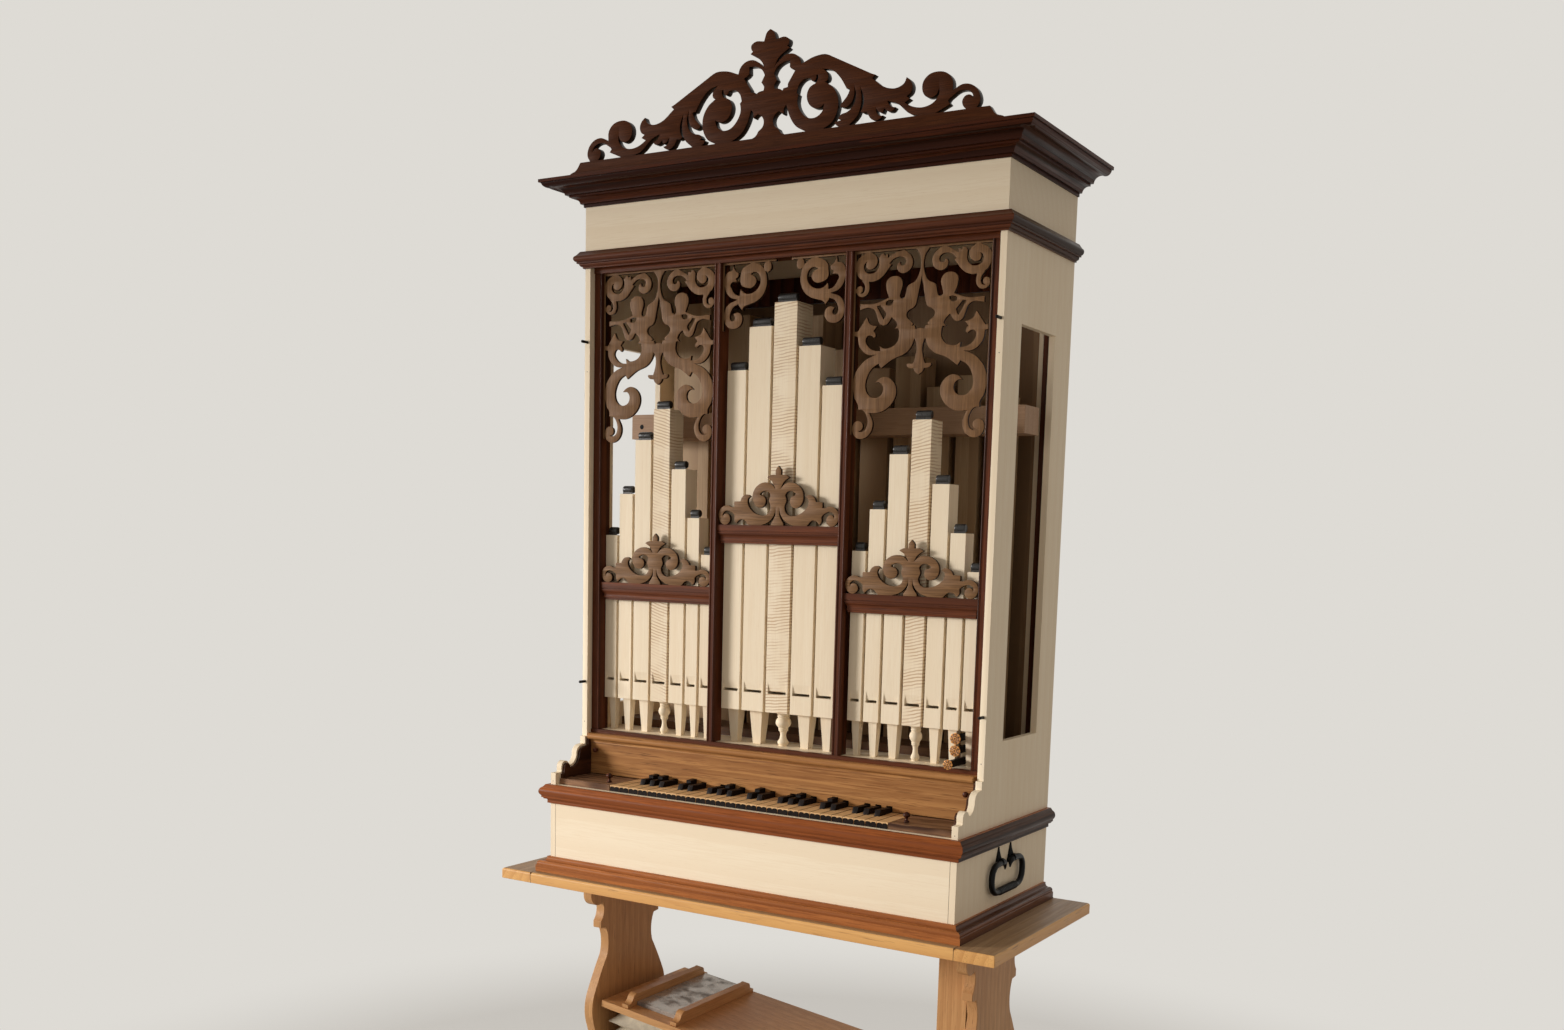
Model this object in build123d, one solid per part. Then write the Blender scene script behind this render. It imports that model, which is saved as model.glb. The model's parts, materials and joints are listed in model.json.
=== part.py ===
from build123d import *
import math
import os

# Table positive organ on its oak stand, millimetres, +Z up, front towards -Y, +X to the right.
# The origin lies on the floor, below the middle of the table top.

# Stand
TABLE_TOP_Z = 760.0
TABLE_SIDE_OVERHANG = 97.0
TABLE_DEPTH = 470.0
TABLE_THICKNESS = 22.0
TABLE_EDGE_ROUND = 5.0
LEG_INSET = 25.0
LEG_THICKNESS = 22.0
LEG_CENTRE_Y = 36.0
LEG_BRACKET_HALF = 138.0
LEG_NECK_HALF = 78.5
LEG_BELLY_HALF = 130.0
FOOT_LENGTH = 384.0
FOOT_WIDTH = 62.0
FOOT_HEIGHT = 56.0
STRETCHER_THICKNESS = 22.0
STRETCHER_HEIGHT = 70.0
STRETCHER_SPREAD = 55.0

# Bellows under the table, hinged at its right end
BELLOWS_LEFT_SET = 24.0
BELLOWS_HINGE_SET = 94.0
BELLOWS_FRONT_Y = -82.0
BELLOWS_BACK_Y = 226.0
BELLOWS_BOARD_THICKNESS = 15.0
BELLOWS_BOTTOM_TOP_Z = 350.0
BELLOWS_HINGE_GAP = 4.0
BELLOWS_REST_ANGLE = 6.8
RIB_INSET = 9.0
RIB_CLEARANCE = 0.3
CLEAT_WIDTH = 16.0
CLEAT_HEIGHT = 27.0
CLEAT_FROM_LEFT = (52.0, 180.0)
CLEAT_FRONT_SET = 4.0
LEAD_THICKNESS = 9.0
LEAD_FRONT_SET = 36.0
LEAD_BACK_SET = 12.0
FIT = 0.3

# Wind trunk beside the right leg
TRUNK_WIDTH = 60.0
TRUNK_DEPTH = 62.0
TRUNK_FRONT_Y = -43.5
TRUNK_WALL = 8.0

# Lower case, which holds the keys
TABLE_FRONT_OVERHANG = 41.5
CASE_DEPTH = 420.0
FLOOR_THICKNESS = 12.0
BOARD = 13.0
PANEL_THICKNESS = 12.0
WAIST_BOTTOM = 144.0
WAIST_TOP = 183.0
WAIST_PROJECTION = 17.0
PLINTH_HEIGHT = 31.0
PLINTH_PROJECTION = 22.0

# Keyboard
NATURAL_COUNT = 27
NATURAL_PITCH = 23.6
KEY_BLOCK_WIDTH = 131.5
KEY_GAP = 0.8
KEY_TOP = 195.0
KEY_THICKNESS = 14.0
KEY_BED_TOP = 176.0
KEY_BED_THICKNESS = 12.0
KEY_LENGTH = 250.0
KEY_REST = 160.0
KEY_REST_WIDTH = 16.0
KEY_HEAD_GAP = 1.0
KEY_FRONT_GAP = 0.5
SHARP_WIDTH = 11.0
SHARP_HEIGHT = 11.0
SHARP_SETBACK = 44.0
SHARP_LENGTH = 60.0
SPLIT_RISE = 4.5
SPLIT_SHARE = 0.48
SHARPS_AFTER = (2, 3, 4, 6, 7, 9, 10, 11, 13, 14, 16, 17, 18, 20, 21, 23, 24, 25)
SPLIT_SHARPS = (0, 1, 3, 6, 8, 11, 13)
KEY_BLOCK_TOP = 195.0
KEY_SIDE_CLEARANCE = 1.0
LIFT_KNOB_FROM_KEYS = 23.5
LIFT_KNOB_RADIUS = 7.0
LIFT_KNOB_HEIGHT = 19.0
LIFT_KNOB_SET = 40.0

# Name board and its moulding over the keys
NAME_BOARD_FRONT = 108.0
NAME_BOARD_BOTTOM = 206.0
NAME_BOARD_THICKNESS = 10.0
NAME_MOULDING_BOTTOM = 262.0
NAME_MOULDING_TOP = 282.0
NAME_MOULDING_PROJECTION = 11.0
LINING_THICKNESS = 6.0
LINING_INSET = 4.0
NAME_KNOB_INSET = 22.0
NAME_KNOB_Z = 247.0
NAME_KNOB_RADIUS = 5.5
NAME_KNOB_LENGTH = 11.0

# Upper case, which holds the pipes
UPPER_SETBACK = 100.5
UPPER_BACK = 422.0
SIDE_STEP_Z = 275.0
SIDE_TOP_Z = 1245.0
WINDOW_FRONT = 180.0
WINDOW_BACK = 343.0
WINDOW_BOTTOM = 340.0
WINDOW_TOP = 1089.0
FRAME_FRONT = 113.0
FRAME_THICKNESS = 32.0
BOTTOM_RAIL_THICKNESS = 11.0
STILE_WIDTH = 20.0
POST_CENTRE_X = 146.0
POST_WIDTH = 15.0
BEAD = 4.0
TOP_RAIL_BOTTOM = 1226.0
TRANSOM_HEIGHT = 36.0
TRANSOM_SETBACK = 4.5
TRANSOM_DEPTH = 13.0
SIDE_TRANSOM_TOP = 601.0
CENTRE_TRANSOM_TOP = 725.0
SIDE_CREST_HEIGHT = 103.0
CENTRE_CREST_HEIGHT = 114.0
CREST_THICKNESS = 7.0
CREST_SETBACK = 5.5
CREST_END_GAP = 2.0
SHADE_THICKNESS = 6.0
SHADE_SETBACK = 7.5
SHADE_BORDER = 4.0
SIDE_SHADE_SIDES = 330.0
CENTRE_SHADE_SIDES = 128.0
CENTRE_SHADE_OPENING = 34.0
FRET_SAG = 0.8
TOE_BOARD_TOP = 290.0
TOE_BOARD_THICKNESS = 16.0
TOE_BOARD_DEPTH = 87.0
CHEST_SET = 20.0
CHEST_BOTTOM = 226.0
REAR_CHEST_TOP = 307.0
BACK_THICKNESS = 14.0

# Front pipes: (pitch, height of the top above the table) from left to right in each bay
PIPE_FRONT = 133.0
PIPE_WALL = 4.5
PIPE_DEPTH_RATIO = 1.15
PIPE_GAP = 6.0
PIPE_BODY_BOTTOM = 358.0
PIPE_MOUTH_Z = 400.0
PIPE_MOUTH_HEIGHT = 5.0
PIPE_LIP_HEIGHT = 17.0
PIPE_LIP_THICKNESS = 1.5
PIPES = {
    "left": ((35, 699), (39, 784), (46, 893), (46.5, 954), (41, 834), (35, 737), (32, 664)),
    "centre": ((49, 1024), (56.5, 1105), (57, 1148), (54, 1064), (48.5, 989)),
    "right": ((35, 681), (38, 759), (44.5, 860), (45.5, 922), (40.5, 806), (36.5, 718), (33, 649)),
}
# Clear space between the bay's left and right edges and its first and last pipe
PIPE_MARGINS = {"left": (1.0, 8.0), "centre": (7.0, 11.0), "right": (6.5, 4.0)}
FOOT_TOP_SHARE = 0.58
FOOT_END_SHARE = 0.36
TURNED_FOOT_SHARE = 0.33
TURNED_SIDES = 12
ROLL_RADIUS = 6.0
ROLL_SIDES = 8
ROLL_SETBACK = 10.0
ROLL_LIFT = 7.0
ROLL_TONGUE = 1.2
ROLL_TONGUE_LENGTH = 12.0

# Rack rail and rear pipes
RACK_FRONT = 245.0
RACK_DEPTH = 67.0
RACK_BOTTOM = 904.0
RACK_TOP = 955.0
REAR_PIPE_WALL = 7.0
REAR_PIPE_WIDTHS = (92, 84, 78, 72, 66, 60, 56, 52, 48, 46)
REAR_PIPE_TOPS = (1190, 1160, 1120, 1150, 1080, 1040, 1060, 1000, 1020, 980)
REAR_PIPE_GAP = 14.0
REAR_PIPE_END_GAP = 61.0
REAR_PIPE_CLEARANCE = 12.0
REAR_PIPE_BLOCK = 40.0
REAR_RAIL_BOTTOM = 1190.0
REAR_POST_WIDTH = 34.0
REAR_FRAME_THICKNESS = 20.0

# Stop knobs at the right of the pipe feet
STOP_FROM_LAST_PIPE = 5.5
STOP_PITCH = 22.5
STOP_CLEARANCE = 0.5
STOP_PUSHED_Y = 126.0
STOP_TRAVEL = 28.0
STOP_PULLED = (0.0, 0.0, 1.0)
STOP_ROSE_RADIUS = 9.0
STOP_ROSE_THICKNESS = 6.0
STOP_ROD_WIDTH = 7.0
STOP_ROD_HEIGHT = 13.0
STOP_ROD_LENGTH = 84.0
JAMB_FRONT = 166.0
JAMB_THICKNESS = 8.0
JAMB_WIDTH = 16.0
RUNNING_GAP = 0.4

# Frieze, cornice and crest
FRIEZE_BOTTOM = 1245.0
FRIEZE_TOP = 1358.0
FRIEZE_BOARD = 14.0
UPPER_MOULDING_BOTTOM = 1235.0
UPPER_MOULDING_TOP = 1268.0
UPPER_MOULDING_PROJECTION = 17.0
CORNICE_TOP = 1403.0
CORNICE_PROJECTION = 68.0
ROOF_THICKNESS = 12.0
CREST_FRONT = 54.0
CREST_BOARD = 14.0
TOP_CREST_OVERHANG = 4.0
TOP_CREST_HEIGHT = 214.0
TOP_CREST_SAG = 1.2

# Facets of drawn curves
FACET_TURN = 36.0
CURVE_STEPS = 6

# Carrying handles of black iron
HANDLE_CENTRE = 209.0
HANDLE_PIVOT_Z = 114.0
HANDLE_HALF = 74.0
HANDLE_DROP = 58.0
HANDLE_ROD = 8.0
HANDLE_EYE_SPACING = 28.0
HANDLE_EYE_WIDTH = 9.0
HANDLE_PLATE = 3.0
HANDLE_STAND_OFF = 9.0
HANDLE_TAIL = 20.0
HANDLE_HOOK = 15.0
HANDLE_GRIP = 11.0
HANDLE_GRIP_HALF = 46.0
HANDLE_SPIKE_HALF = 12.0
HANDLE_SPIKE_RISE = 28.0
HANDLE_BEND = 24.0
HANDLE_BEND_FACETS = 4
CATCH_RADIUS = 2.2
CATCH_LENGTH = 18.0
CATCH_Z = (391.0, 1089.0)

CASE_FRONT_Y = -TABLE_DEPTH / 2 + TABLE_FRONT_OVERHANG
KEYBOARD_WIDTH = NATURAL_COUNT * NATURAL_PITCH
CASE_WIDTH = KEYBOARD_WIDTH + 2 * (KEY_SIDE_CLEARANCE + KEY_BLOCK_WIDTH + BOARD)
TABLE_WIDTH = CASE_WIDTH + 2 * TABLE_SIDE_OVERHANG
half = CASE_WIDTH / 2
inner = half - BOARD
LEG_CENTRE_X = half - LEG_INSET
BELLOWS_LEFT_X = -LEG_CENTRE_X + BELLOWS_LEFT_SET
BELLOWS_HINGE_X = LEG_CENTRE_X - BELLOWS_HINGE_SET
CASE_BACK_Y = CASE_FRONT_Y + CASE_DEPTH


def at(depth):
    return CASE_FRONT_Y + depth


def up(height):
    return TABLE_TOP_Z + height


def board(x0, x1, y0, y1, z0, z1):
    size = (x1 - x0, y1 - y0, z1 - z0)
    return Pos((x0 + x1) / 2, (y0 + y1) / 2, (z0 + z1) / 2) * Box(*size)


def faceted(points, sag):
    # Straight facets along the smooth curve through the points. A facet ends where the curve has left it by
    # about sag or has turned by FACET_TURN.
    curve = Edge.make_spline([Vector(*point) for point in points])
    count = CURVE_STEPS * (len(points) - 1)
    steps = [curve @ (step / count) for step in range(count + 1)]
    start, heading = steps[0], steps[1] - steps[0]
    spots = []
    for here, ahead in zip(steps[1:], steps[2:]):
        turn = heading.get_angle(ahead - here)
        if turn > FACET_TURN or (here - start).length * math.radians(turn) / 8 > sag:
            spots.append((here.X, here.Y))
            start, heading = here, ahead - here
    return spots + [points[-1]]


def outline(plane, start, moves, sag=FRET_SAG):
    # Each move is an end point, an arc as its middle and end points, or a smooth curve through more points.
    with BuildSketch(plane) as sketch:
        with BuildLine():
            here = start
            for move in moves:
                if len(move) == 4:
                    ThreePointArc(here, move[0:2], move[2:4])
                    here = move[2:4]
                    continue
                points = [here] + [move[i:i + 2] for i in range(0, len(move), 2)]
                for spot in faceted(points, sag) if len(points) > 2 else points[1:]:
                    Line(here, spot)
                    here = spot
            if math.dist(here, start) > 1e-6:
                Line(here, start)
        make_face()
    return sketch.sketch


def along_x(start, moves, x0, x1):
    return extrude(outline(Plane.YZ.offset(x0), start, moves), amount=x1 - x0)


def along_y(start, moves, y0, y1, sag=FRET_SAG):
    return extrude(outline(Plane.XZ.offset(-y0), start, moves, sag), amount=-(y1 - y0))


def along_z(start, moves, z0, z1):
    return extrude(outline(Plane.XY.offset(z0), start, moves), amount=z1 - z0)


def wrap_moulding(profile, width, front, back):
    # profile: (projection, height) moves up the face; the moulding runs round the front and both sides.
    low, high = profile[0][-1], profile[-1][-1]
    side = fitted(profile, lambda reach, z: (front - reach, z))
    right = fitted(profile, lambda reach, z: (width / 2 + reach, z))
    left = fitted(profile, lambda reach, z: (-width / 2 - reach, z))
    slab = along_x((back, low), side + [(back, high)], -width, width)
    across = along_y((0, low), right + [(0, high)], front - width, back)
    across += along_y((0, low), left + [(0, high)], front - width, back)
    ring = slab & across
    return ring - board(-width / 2, width / 2, front, back, low, high)


def fitted(drawing, fit):
    # Every point of a drawn outline, moved to its place by fit.
    placed = []
    for move in drawing:
        points = [fit(*move[i:i + 2]) for i in range(0, len(move), 2)]
        placed.append(tuple(value for point in points for value in point))
    return placed


def fret(drawing, fit, y0, y1, sag=FRET_SAG):
    moves = fitted(drawing, fit)
    return along_y(moves[0], moves[1:], y0, y1, sag)


def turned(profile, sides=TURNED_SIDES):
    # Turned work as a stack of many-sided rings; the profile lists (radius, height) up the axis.
    rings = [Plane.XY.offset(height) * RegularPolygon(radius, sides) for radius, height in profile]
    return loft(rings, ruled=True)


def mirror_x(shape):
    return mirror(shape, about=Plane.YZ)


def pair(shape):
    return Compound(children=[shape, mirror_x(shape)])


def table_top():
    top = board(-TABLE_WIDTH / 2, TABLE_WIDTH / 2, -TABLE_DEPTH / 2, TABLE_DEPTH / 2,
                TABLE_TOP_Z - TABLE_THICKNESS, TABLE_TOP_Z)
    edges = top.faces().sort_by(Axis.Z)[-1].edges()
    return fillet(edges, TABLE_EDGE_ROUND)


def leg(centre_x):
    # Lyre-shaped board: bracket, recess and nose at the top, a slim neck and a full belly.
    top = TABLE_TOP_Z - TABLE_THICKNESS
    tall = top - FOOT_HEIGHT
    bracket, neck, belly = LEG_BRACKET_HALF, LEG_NECK_HALF, LEG_BELLY_HALF
    heel = bracket - 20
    side = [(bracket, 0), (bracket, 0.066), (bracket - 6, 0.091, bracket - 40, 0.097),
            (bracket - 44, 0.129, bracket - 34, 0.161), (bracket - 34, 0.182), (neck + 8, 0.185),
            (neck, 0.22, neck + 4, 0.279), (neck + 30, 0.345, belly - 4, 0.396),
            (belly + 2, 0.447, belly - 6, 0.499), (neck + 22, 0.616, neck + 6, 0.718),
            (neck, 0.792, neck + 10, 0.85), (neck + 30, 0.909, heel, 0.938), (heel, 1)]
    x0 = centre_x - LEG_THICKNESS / 2
    moves = fitted(side, lambda reach, drop: (LEG_CENTRE_Y - reach, top - drop * tall))
    shape = along_x((LEG_CENTRE_Y, top), moves + [(LEG_CENTRE_Y, FOOT_HEIGHT)], x0, x0 + LEG_THICKNESS)
    return shape + mirror(shape, about=Plane.XZ.offset(-LEG_CENTRE_Y))


def foot(centre_x):
    low, mid = 14.0, FOOT_HEIGHT
    reach, pad = FOOT_LENGTH / 2, 60.0
    moves = [(reach, 0), (reach, 26), (reach - 16, 40, reach - 40, mid), (-reach + 40, mid),
             (-reach + 16, 40, -reach, 26), (-reach, 0), (-reach + pad, 0), (-reach + pad + 20, low),
             (reach - pad - 20, low)]
    shape = along_x((reach - pad, 0), moves, centre_x - FOOT_WIDTH / 2, centre_x + FOOT_WIDTH / 2)
    return Pos(0, LEG_CENTRE_Y, 0) * shape


def stretchers():
    span = LEG_CENTRE_X - LEG_THICKNESS / 2
    top = BELLOWS_BOTTOM_TOP_Z - BELLOWS_BOARD_THICKNESS
    thick = STRETCHER_THICKNESS / 2
    bars = [board(-span, span, y - thick, y + thick, top - STRETCHER_HEIGHT, top)
            for y in (LEG_CENTRE_Y - STRETCHER_SPREAD, LEG_CENTRE_Y + STRETCHER_SPREAD)]
    return Compound(children=bars)


def wind_trunk():
    right = LEG_CENTRE_X - LEG_THICKNESS / 2 - 1.0
    outer = board(right - TRUNK_WIDTH, right, TRUNK_FRONT_Y, TRUNK_FRONT_Y + TRUNK_DEPTH,
                  BELLOWS_BOTTOM_TOP_Z, TABLE_TOP_Z - TABLE_THICKNESS)
    wall = TRUNK_WALL
    return outer - board(right - TRUNK_WIDTH + wall, right - wall, TRUNK_FRONT_Y + wall,
                         TRUNK_FRONT_Y + TRUNK_DEPTH - wall, BELLOWS_BOTTOM_TOP_Z,
                         TABLE_TOP_Z - TABLE_THICKNESS)


hinge_z = BELLOWS_BOTTOM_TOP_Z + BELLOWS_HINGE_GAP
board_length = (BELLOWS_HINGE_X - BELLOWS_LEFT_X) / math.cos(math.radians(BELLOWS_REST_ANGLE))


def on_top_board(shape):
    # Turns a piece drawn along -X from the hinge line into the open bellows.
    tilt = Pos(BELLOWS_HINGE_X, 0, hinge_z) * Rot(0, BELLOWS_REST_ANGLE, 0)
    return tilt * shape


def bellows_bottom_board():
    right = LEG_CENTRE_X - LEG_THICKNESS / 2 - 1.0
    return board(BELLOWS_LEFT_X, right, BELLOWS_FRONT_Y, BELLOWS_BACK_Y,
                 BELLOWS_BOTTOM_TOP_Z - BELLOWS_BOARD_THICKNESS, BELLOWS_BOTTOM_TOP_Z)


def bellows_top_board():
    return on_top_board(board(-board_length, 0, BELLOWS_FRONT_Y, BELLOWS_BACK_Y,
                              0, BELLOWS_BOARD_THICKNESS))


def bellows_ribs():
    rise = math.tan(math.radians(BELLOWS_REST_ANGLE))
    left, right = BELLOWS_LEFT_X + RIB_INSET, BELLOWS_HINGE_X - RIB_INSET
    low = BELLOWS_BOTTOM_TOP_Z

    def roof(x):
        return hinge_z + (BELLOWS_HINGE_X - x) * rise - RIB_CLEARANCE

    return along_y((left, low), [(right, low), (right, roof(right)), (left, roof(left))],
                   BELLOWS_FRONT_Y + RIB_INSET, BELLOWS_BACK_Y - RIB_INSET)


def cleat(from_left):
    x0 = -board_length + from_left
    front, back = BELLOWS_FRONT_Y + CLEAT_FRONT_SET, BELLOWS_BACK_Y - CLEAT_FRONT_SET
    low, high = BELLOWS_BOARD_THICKNESS, BELLOWS_BOARD_THICKNESS + CLEAT_HEIGHT
    moves = [(front, low + 8), (front + 10, low + 9, front + 16, low + 17),
             (front + 22, high - 1, front + 34, high), (back - 34, high),
             (back - 22, high - 1, back - 16, low + 17), (back - 10, low + 9, back, low + 8),
             (back, low)]
    return on_top_board(along_x((front, low), moves, x0, x0 + CLEAT_WIDTH))


def lead_weight():
    x0 = -board_length + CLEAT_FROM_LEFT[0] + CLEAT_WIDTH + FIT
    x1 = -board_length + CLEAT_FROM_LEFT[1] - FIT
    return on_top_board(board(x0, x1, BELLOWS_FRONT_Y + LEAD_FRONT_SET, BELLOWS_BACK_Y - LEAD_BACK_SET,
                              BELLOWS_BOARD_THICKNESS, BELLOWS_BOARD_THICKNESS + LEAD_THICKNESS))


def side_board():
    # The right side board with its stepped scroll beside the keys and the tall window.
    upper = at(UPPER_SETBACK)
    moves = [(at(0), up(207)), (at(13), up(207)), (at(17.5), up(208.5), at(18), up(213)),
             (at(18), up(218)), (at(30), up(230), at(42), up(222)), (at(45), up(219.5)),
             (at(58), up(224.5), at(66), up(240)), (at(70), up(252), at(82), up(258.5)),
             (at(94), up(259.5)), (at(94), up(SIDE_STEP_Z)), (upper, up(SIDE_STEP_Z)),
             (upper, up(SIDE_TOP_Z)), (at(UPPER_BACK), up(SIDE_TOP_Z)), (at(UPPER_BACK), up(0))]
    plate = along_x((at(0), up(0)), moves, inner, half)
    return plate - board(inner, half, at(WINDOW_FRONT), at(WINDOW_BACK), up(WINDOW_BOTTOM), up(WINDOW_TOP))


def cheek_lining():
    # It follows the side board's scroll, a little inside it, and stops against the name board.
    front = at(PANEL_THICKNESS + LINING_INSET)
    step = up(SIDE_STEP_Z - LINING_INSET)
    moves = [(front, up(204)), (at(20), up(204)), (at(22), up(216)), (at(31), up(226), at(39), up(217)),
             (at(46), up(215)), (at(62), up(222), at(70), up(238)), (at(75), up(250), at(84), up(254)),
             (at(98), up(256)), (at(98), step), (at(NAME_BOARD_FRONT), step),
             (at(NAME_BOARD_FRONT), up(KEY_BLOCK_TOP))]
    return along_x((front, up(KEY_BLOCK_TOP)), moves, inner - LINING_THICKNESS, inner)


def front_panel():
    return board(-inner, inner, at(0), at(PANEL_THICKNESS), up(0), up(WAIST_TOP))


def plinth_moulding():
    p, h = PLINTH_PROJECTION, PLINTH_HEIGHT
    profile = [(p, up(0)), (p, up(13)), (p - 2, up(14)), (p - 3, up(20), p - 9, up(22)),
               (p - 15, up(24), p - 17, up(29)), (p - 17, up(h))]
    return wrap_moulding(profile, CASE_WIDTH, at(0), CASE_BACK_Y)


def waist_moulding():
    p = WAIST_PROJECTION
    profile = [(p - 12, up(WAIST_BOTTOM)), (p - 12, up(WAIST_BOTTOM + 4)),
               (p - 11, up(WAIST_BOTTOM + 8), p - 6, up(WAIST_BOTTOM + 9)),
               (p - 6, up(WAIST_BOTTOM + 12)), (p - 3, up(WAIST_BOTTOM + 12)),
               (p - 3, up(WAIST_BOTTOM + 16)),
               (p + 1, up(WAIST_BOTTOM + 22), p - 5, up(WAIST_TOP - 5)), (p - 9, up(WAIST_TOP))]
    return wrap_moulding(profile, CASE_WIDTH, at(0), CASE_BACK_Y)


def key_bed():
    return board(-inner, inner, at(PANEL_THICKNESS), at(KEY_LENGTH + 20), up(KEY_BED_TOP - KEY_BED_THICKNESS),
                 up(KEY_BED_TOP))


key_front = PANEL_THICKNESS + KEY_FRONT_GAP
sharp_front = key_front + SHARP_SETBACK


def sharp_centre(after):
    return -KEYBOARD_WIDTH / 2 + after * NATURAL_PITCH


def natural_keys():
    keys = []
    low, high = up(KEY_BED_TOP), up(KEY_TOP)
    under = high - KEY_THICKNESS
    neck = at(sharp_front - KEY_HEAD_GAP)
    for index in range(NATURAL_COUNT):
        x0 = -KEYBOARD_WIDTH / 2 + index * NATURAL_PITCH + KEY_GAP / 2
        x1 = x0 + NATURAL_PITCH - KEY_GAP
        head = board(x0, x1, at(key_front), neck, under, high)
        left, right = x0, x1
        if index in SHARPS_AFTER:
            left = sharp_centre(index) + SHARP_WIDTH / 2 + KEY_HEAD_GAP
        if index + 1 in SHARPS_AFTER:
            right = sharp_centre(index + 1) - SHARP_WIDTH / 2 - KEY_HEAD_GAP
        lever = board(left, right, neck, at(KEY_LENGTH), under, high)
        rest = board(left + 1, right - 1, at(KEY_REST), at(KEY_REST + KEY_REST_WIDTH), low, under)
        keys.append(head + lever + rest)
    return Compound(children=keys)


def sharp_keys():
    keys = []
    for number, after in enumerate(SHARPS_AFTER):
        x = sharp_centre(after)
        w = SHARP_WIDTH / 2
        low, high = up(KEY_TOP - KEY_THICKNESS), up(KEY_TOP)
        start, end = at(sharp_front), at(sharp_front + SHARP_LENGTH)
        lever = board(x - w, x + w, start, at(KEY_LENGTH), low, high)
        top = along_x((start + 1, high), [(start + 6, high + SHARP_HEIGHT), (end, high + SHARP_HEIGHT - 2),
                                          (end, high)], x - w, x + w)
        rest = board(x - w + 1, x + w - 1, at(KEY_REST), at(KEY_REST + KEY_REST_WIDTH), up(KEY_BED_TOP), low)
        key = lever + top + rest
        if number in SPLIT_SHARPS:
            middle = start + SHARP_LENGTH * (1 - SPLIT_SHARE)
            key += board(x - w, x + w, middle, end, high, high + SHARP_HEIGHT + SPLIT_RISE)
        keys.append(key)
    return Compound(children=keys)


def key_block():
    return board(inner - KEY_BLOCK_WIDTH, inner, at(PANEL_THICKNESS), at(NAME_BOARD_FRONT),
                 up(KEY_BED_TOP), up(KEY_BLOCK_TOP))


def lift_knob():
    r, h = LIFT_KNOB_RADIUS, LIFT_KNOB_HEIGHT
    profile = [(0.75 * r, 0), (0.75 * r, 0.1 * h), (0.4 * r, 0.28 * h), (0.4 * r, 0.48 * h), (r, 0.6 * h),
               (0.95 * r, 0.8 * h), (0.45 * r, h)]
    x = KEYBOARD_WIDTH / 2 + LIFT_KNOB_FROM_KEYS
    return Pos(x, at(LIFT_KNOB_SET), up(KEY_BLOCK_TOP)) * turned(profile)


def name_board_knob():
    # Small turned knob near the end of the name board, by which it is lifted out.
    r, h = NAME_KNOB_RADIUS, NAME_KNOB_LENGTH
    profile = [(0.6 * r, 0), (0.45 * r, 0.4 * h), (r, 0.6 * h), (r, 0.85 * h), (0.5 * r, h)]
    place = Pos(inner - NAME_KNOB_INSET, at(NAME_BOARD_FRONT), up(NAME_KNOB_Z))
    return place * Rot(90, 0, 0) * turned(profile)


def name_board():
    return board(-inner, inner, at(NAME_BOARD_FRONT), at(NAME_BOARD_FRONT + NAME_BOARD_THICKNESS),
                 up(NAME_BOARD_BOTTOM + 6), up(NAME_MOULDING_TOP))


def name_moulding():
    face = at(NAME_BOARD_FRONT)
    p = NAME_MOULDING_PROJECTION
    low, high = up(NAME_MOULDING_BOTTOM), up(NAME_MOULDING_TOP)
    moves = [(face - 3, low), (face - 4, low + 6, face - 8, low + 8), (face - p, low + 8),
             (face - p - 3, (low + high) / 2 + 5, face - p + 2, high), (face, high)]
    return along_x((face, low), moves, -inner + LINING_THICKNESS + FIT, inner - LINING_THICKNESS - FIT)


frame_y0 = at(FRAME_FRONT)
frame_y1 = at(FRAME_FRONT + FRAME_THICKNESS)
post_in = POST_CENTRE_X - POST_WIDTH / 2
post_out = POST_CENTRE_X + POST_WIDTH / 2
stile_in = inner - STILE_WIDTH
BAYS = {"left": (-stile_in, -post_out), "centre": (-post_in, post_in), "right": (post_out, stile_in)}


def frame_bottom_rail():
    return board(-inner, inner, frame_y0, frame_y0 + BOTTOM_RAIL_THICKNESS,
                 up(NAME_MOULDING_TOP), up(TOE_BOARD_TOP))


def frame_top_rail():
    return board(-inner, inner, frame_y0, frame_y1, up(TOP_RAIL_BOTTOM), up(SIDE_TOP_Z))


def frame_stile():
    # The inner edge has a round bead; the field beside it lies a little back.
    field = frame_y0 + BEAD / 2
    moves = [(stile_in, field), (stile_in + BEAD / 2, frame_y0, stile_in + BEAD, field), (inner, field),
             (inner, frame_y1)]
    return along_z((stile_in, frame_y1), moves, up(TOE_BOARD_TOP), up(TOP_RAIL_BOTTOM))


def frame_post():
    field = frame_y0 + BEAD / 2
    moves = [(post_in, field), (post_in + BEAD / 2, frame_y0, post_in + BEAD, field), (post_out - BEAD, field),
             (post_out - BEAD / 2, frame_y0, post_out, field), (post_out, frame_y1)]
    return along_z((post_in, frame_y1), moves, up(TOE_BOARD_TOP), up(TOP_RAIL_BOTTOM))


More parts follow.
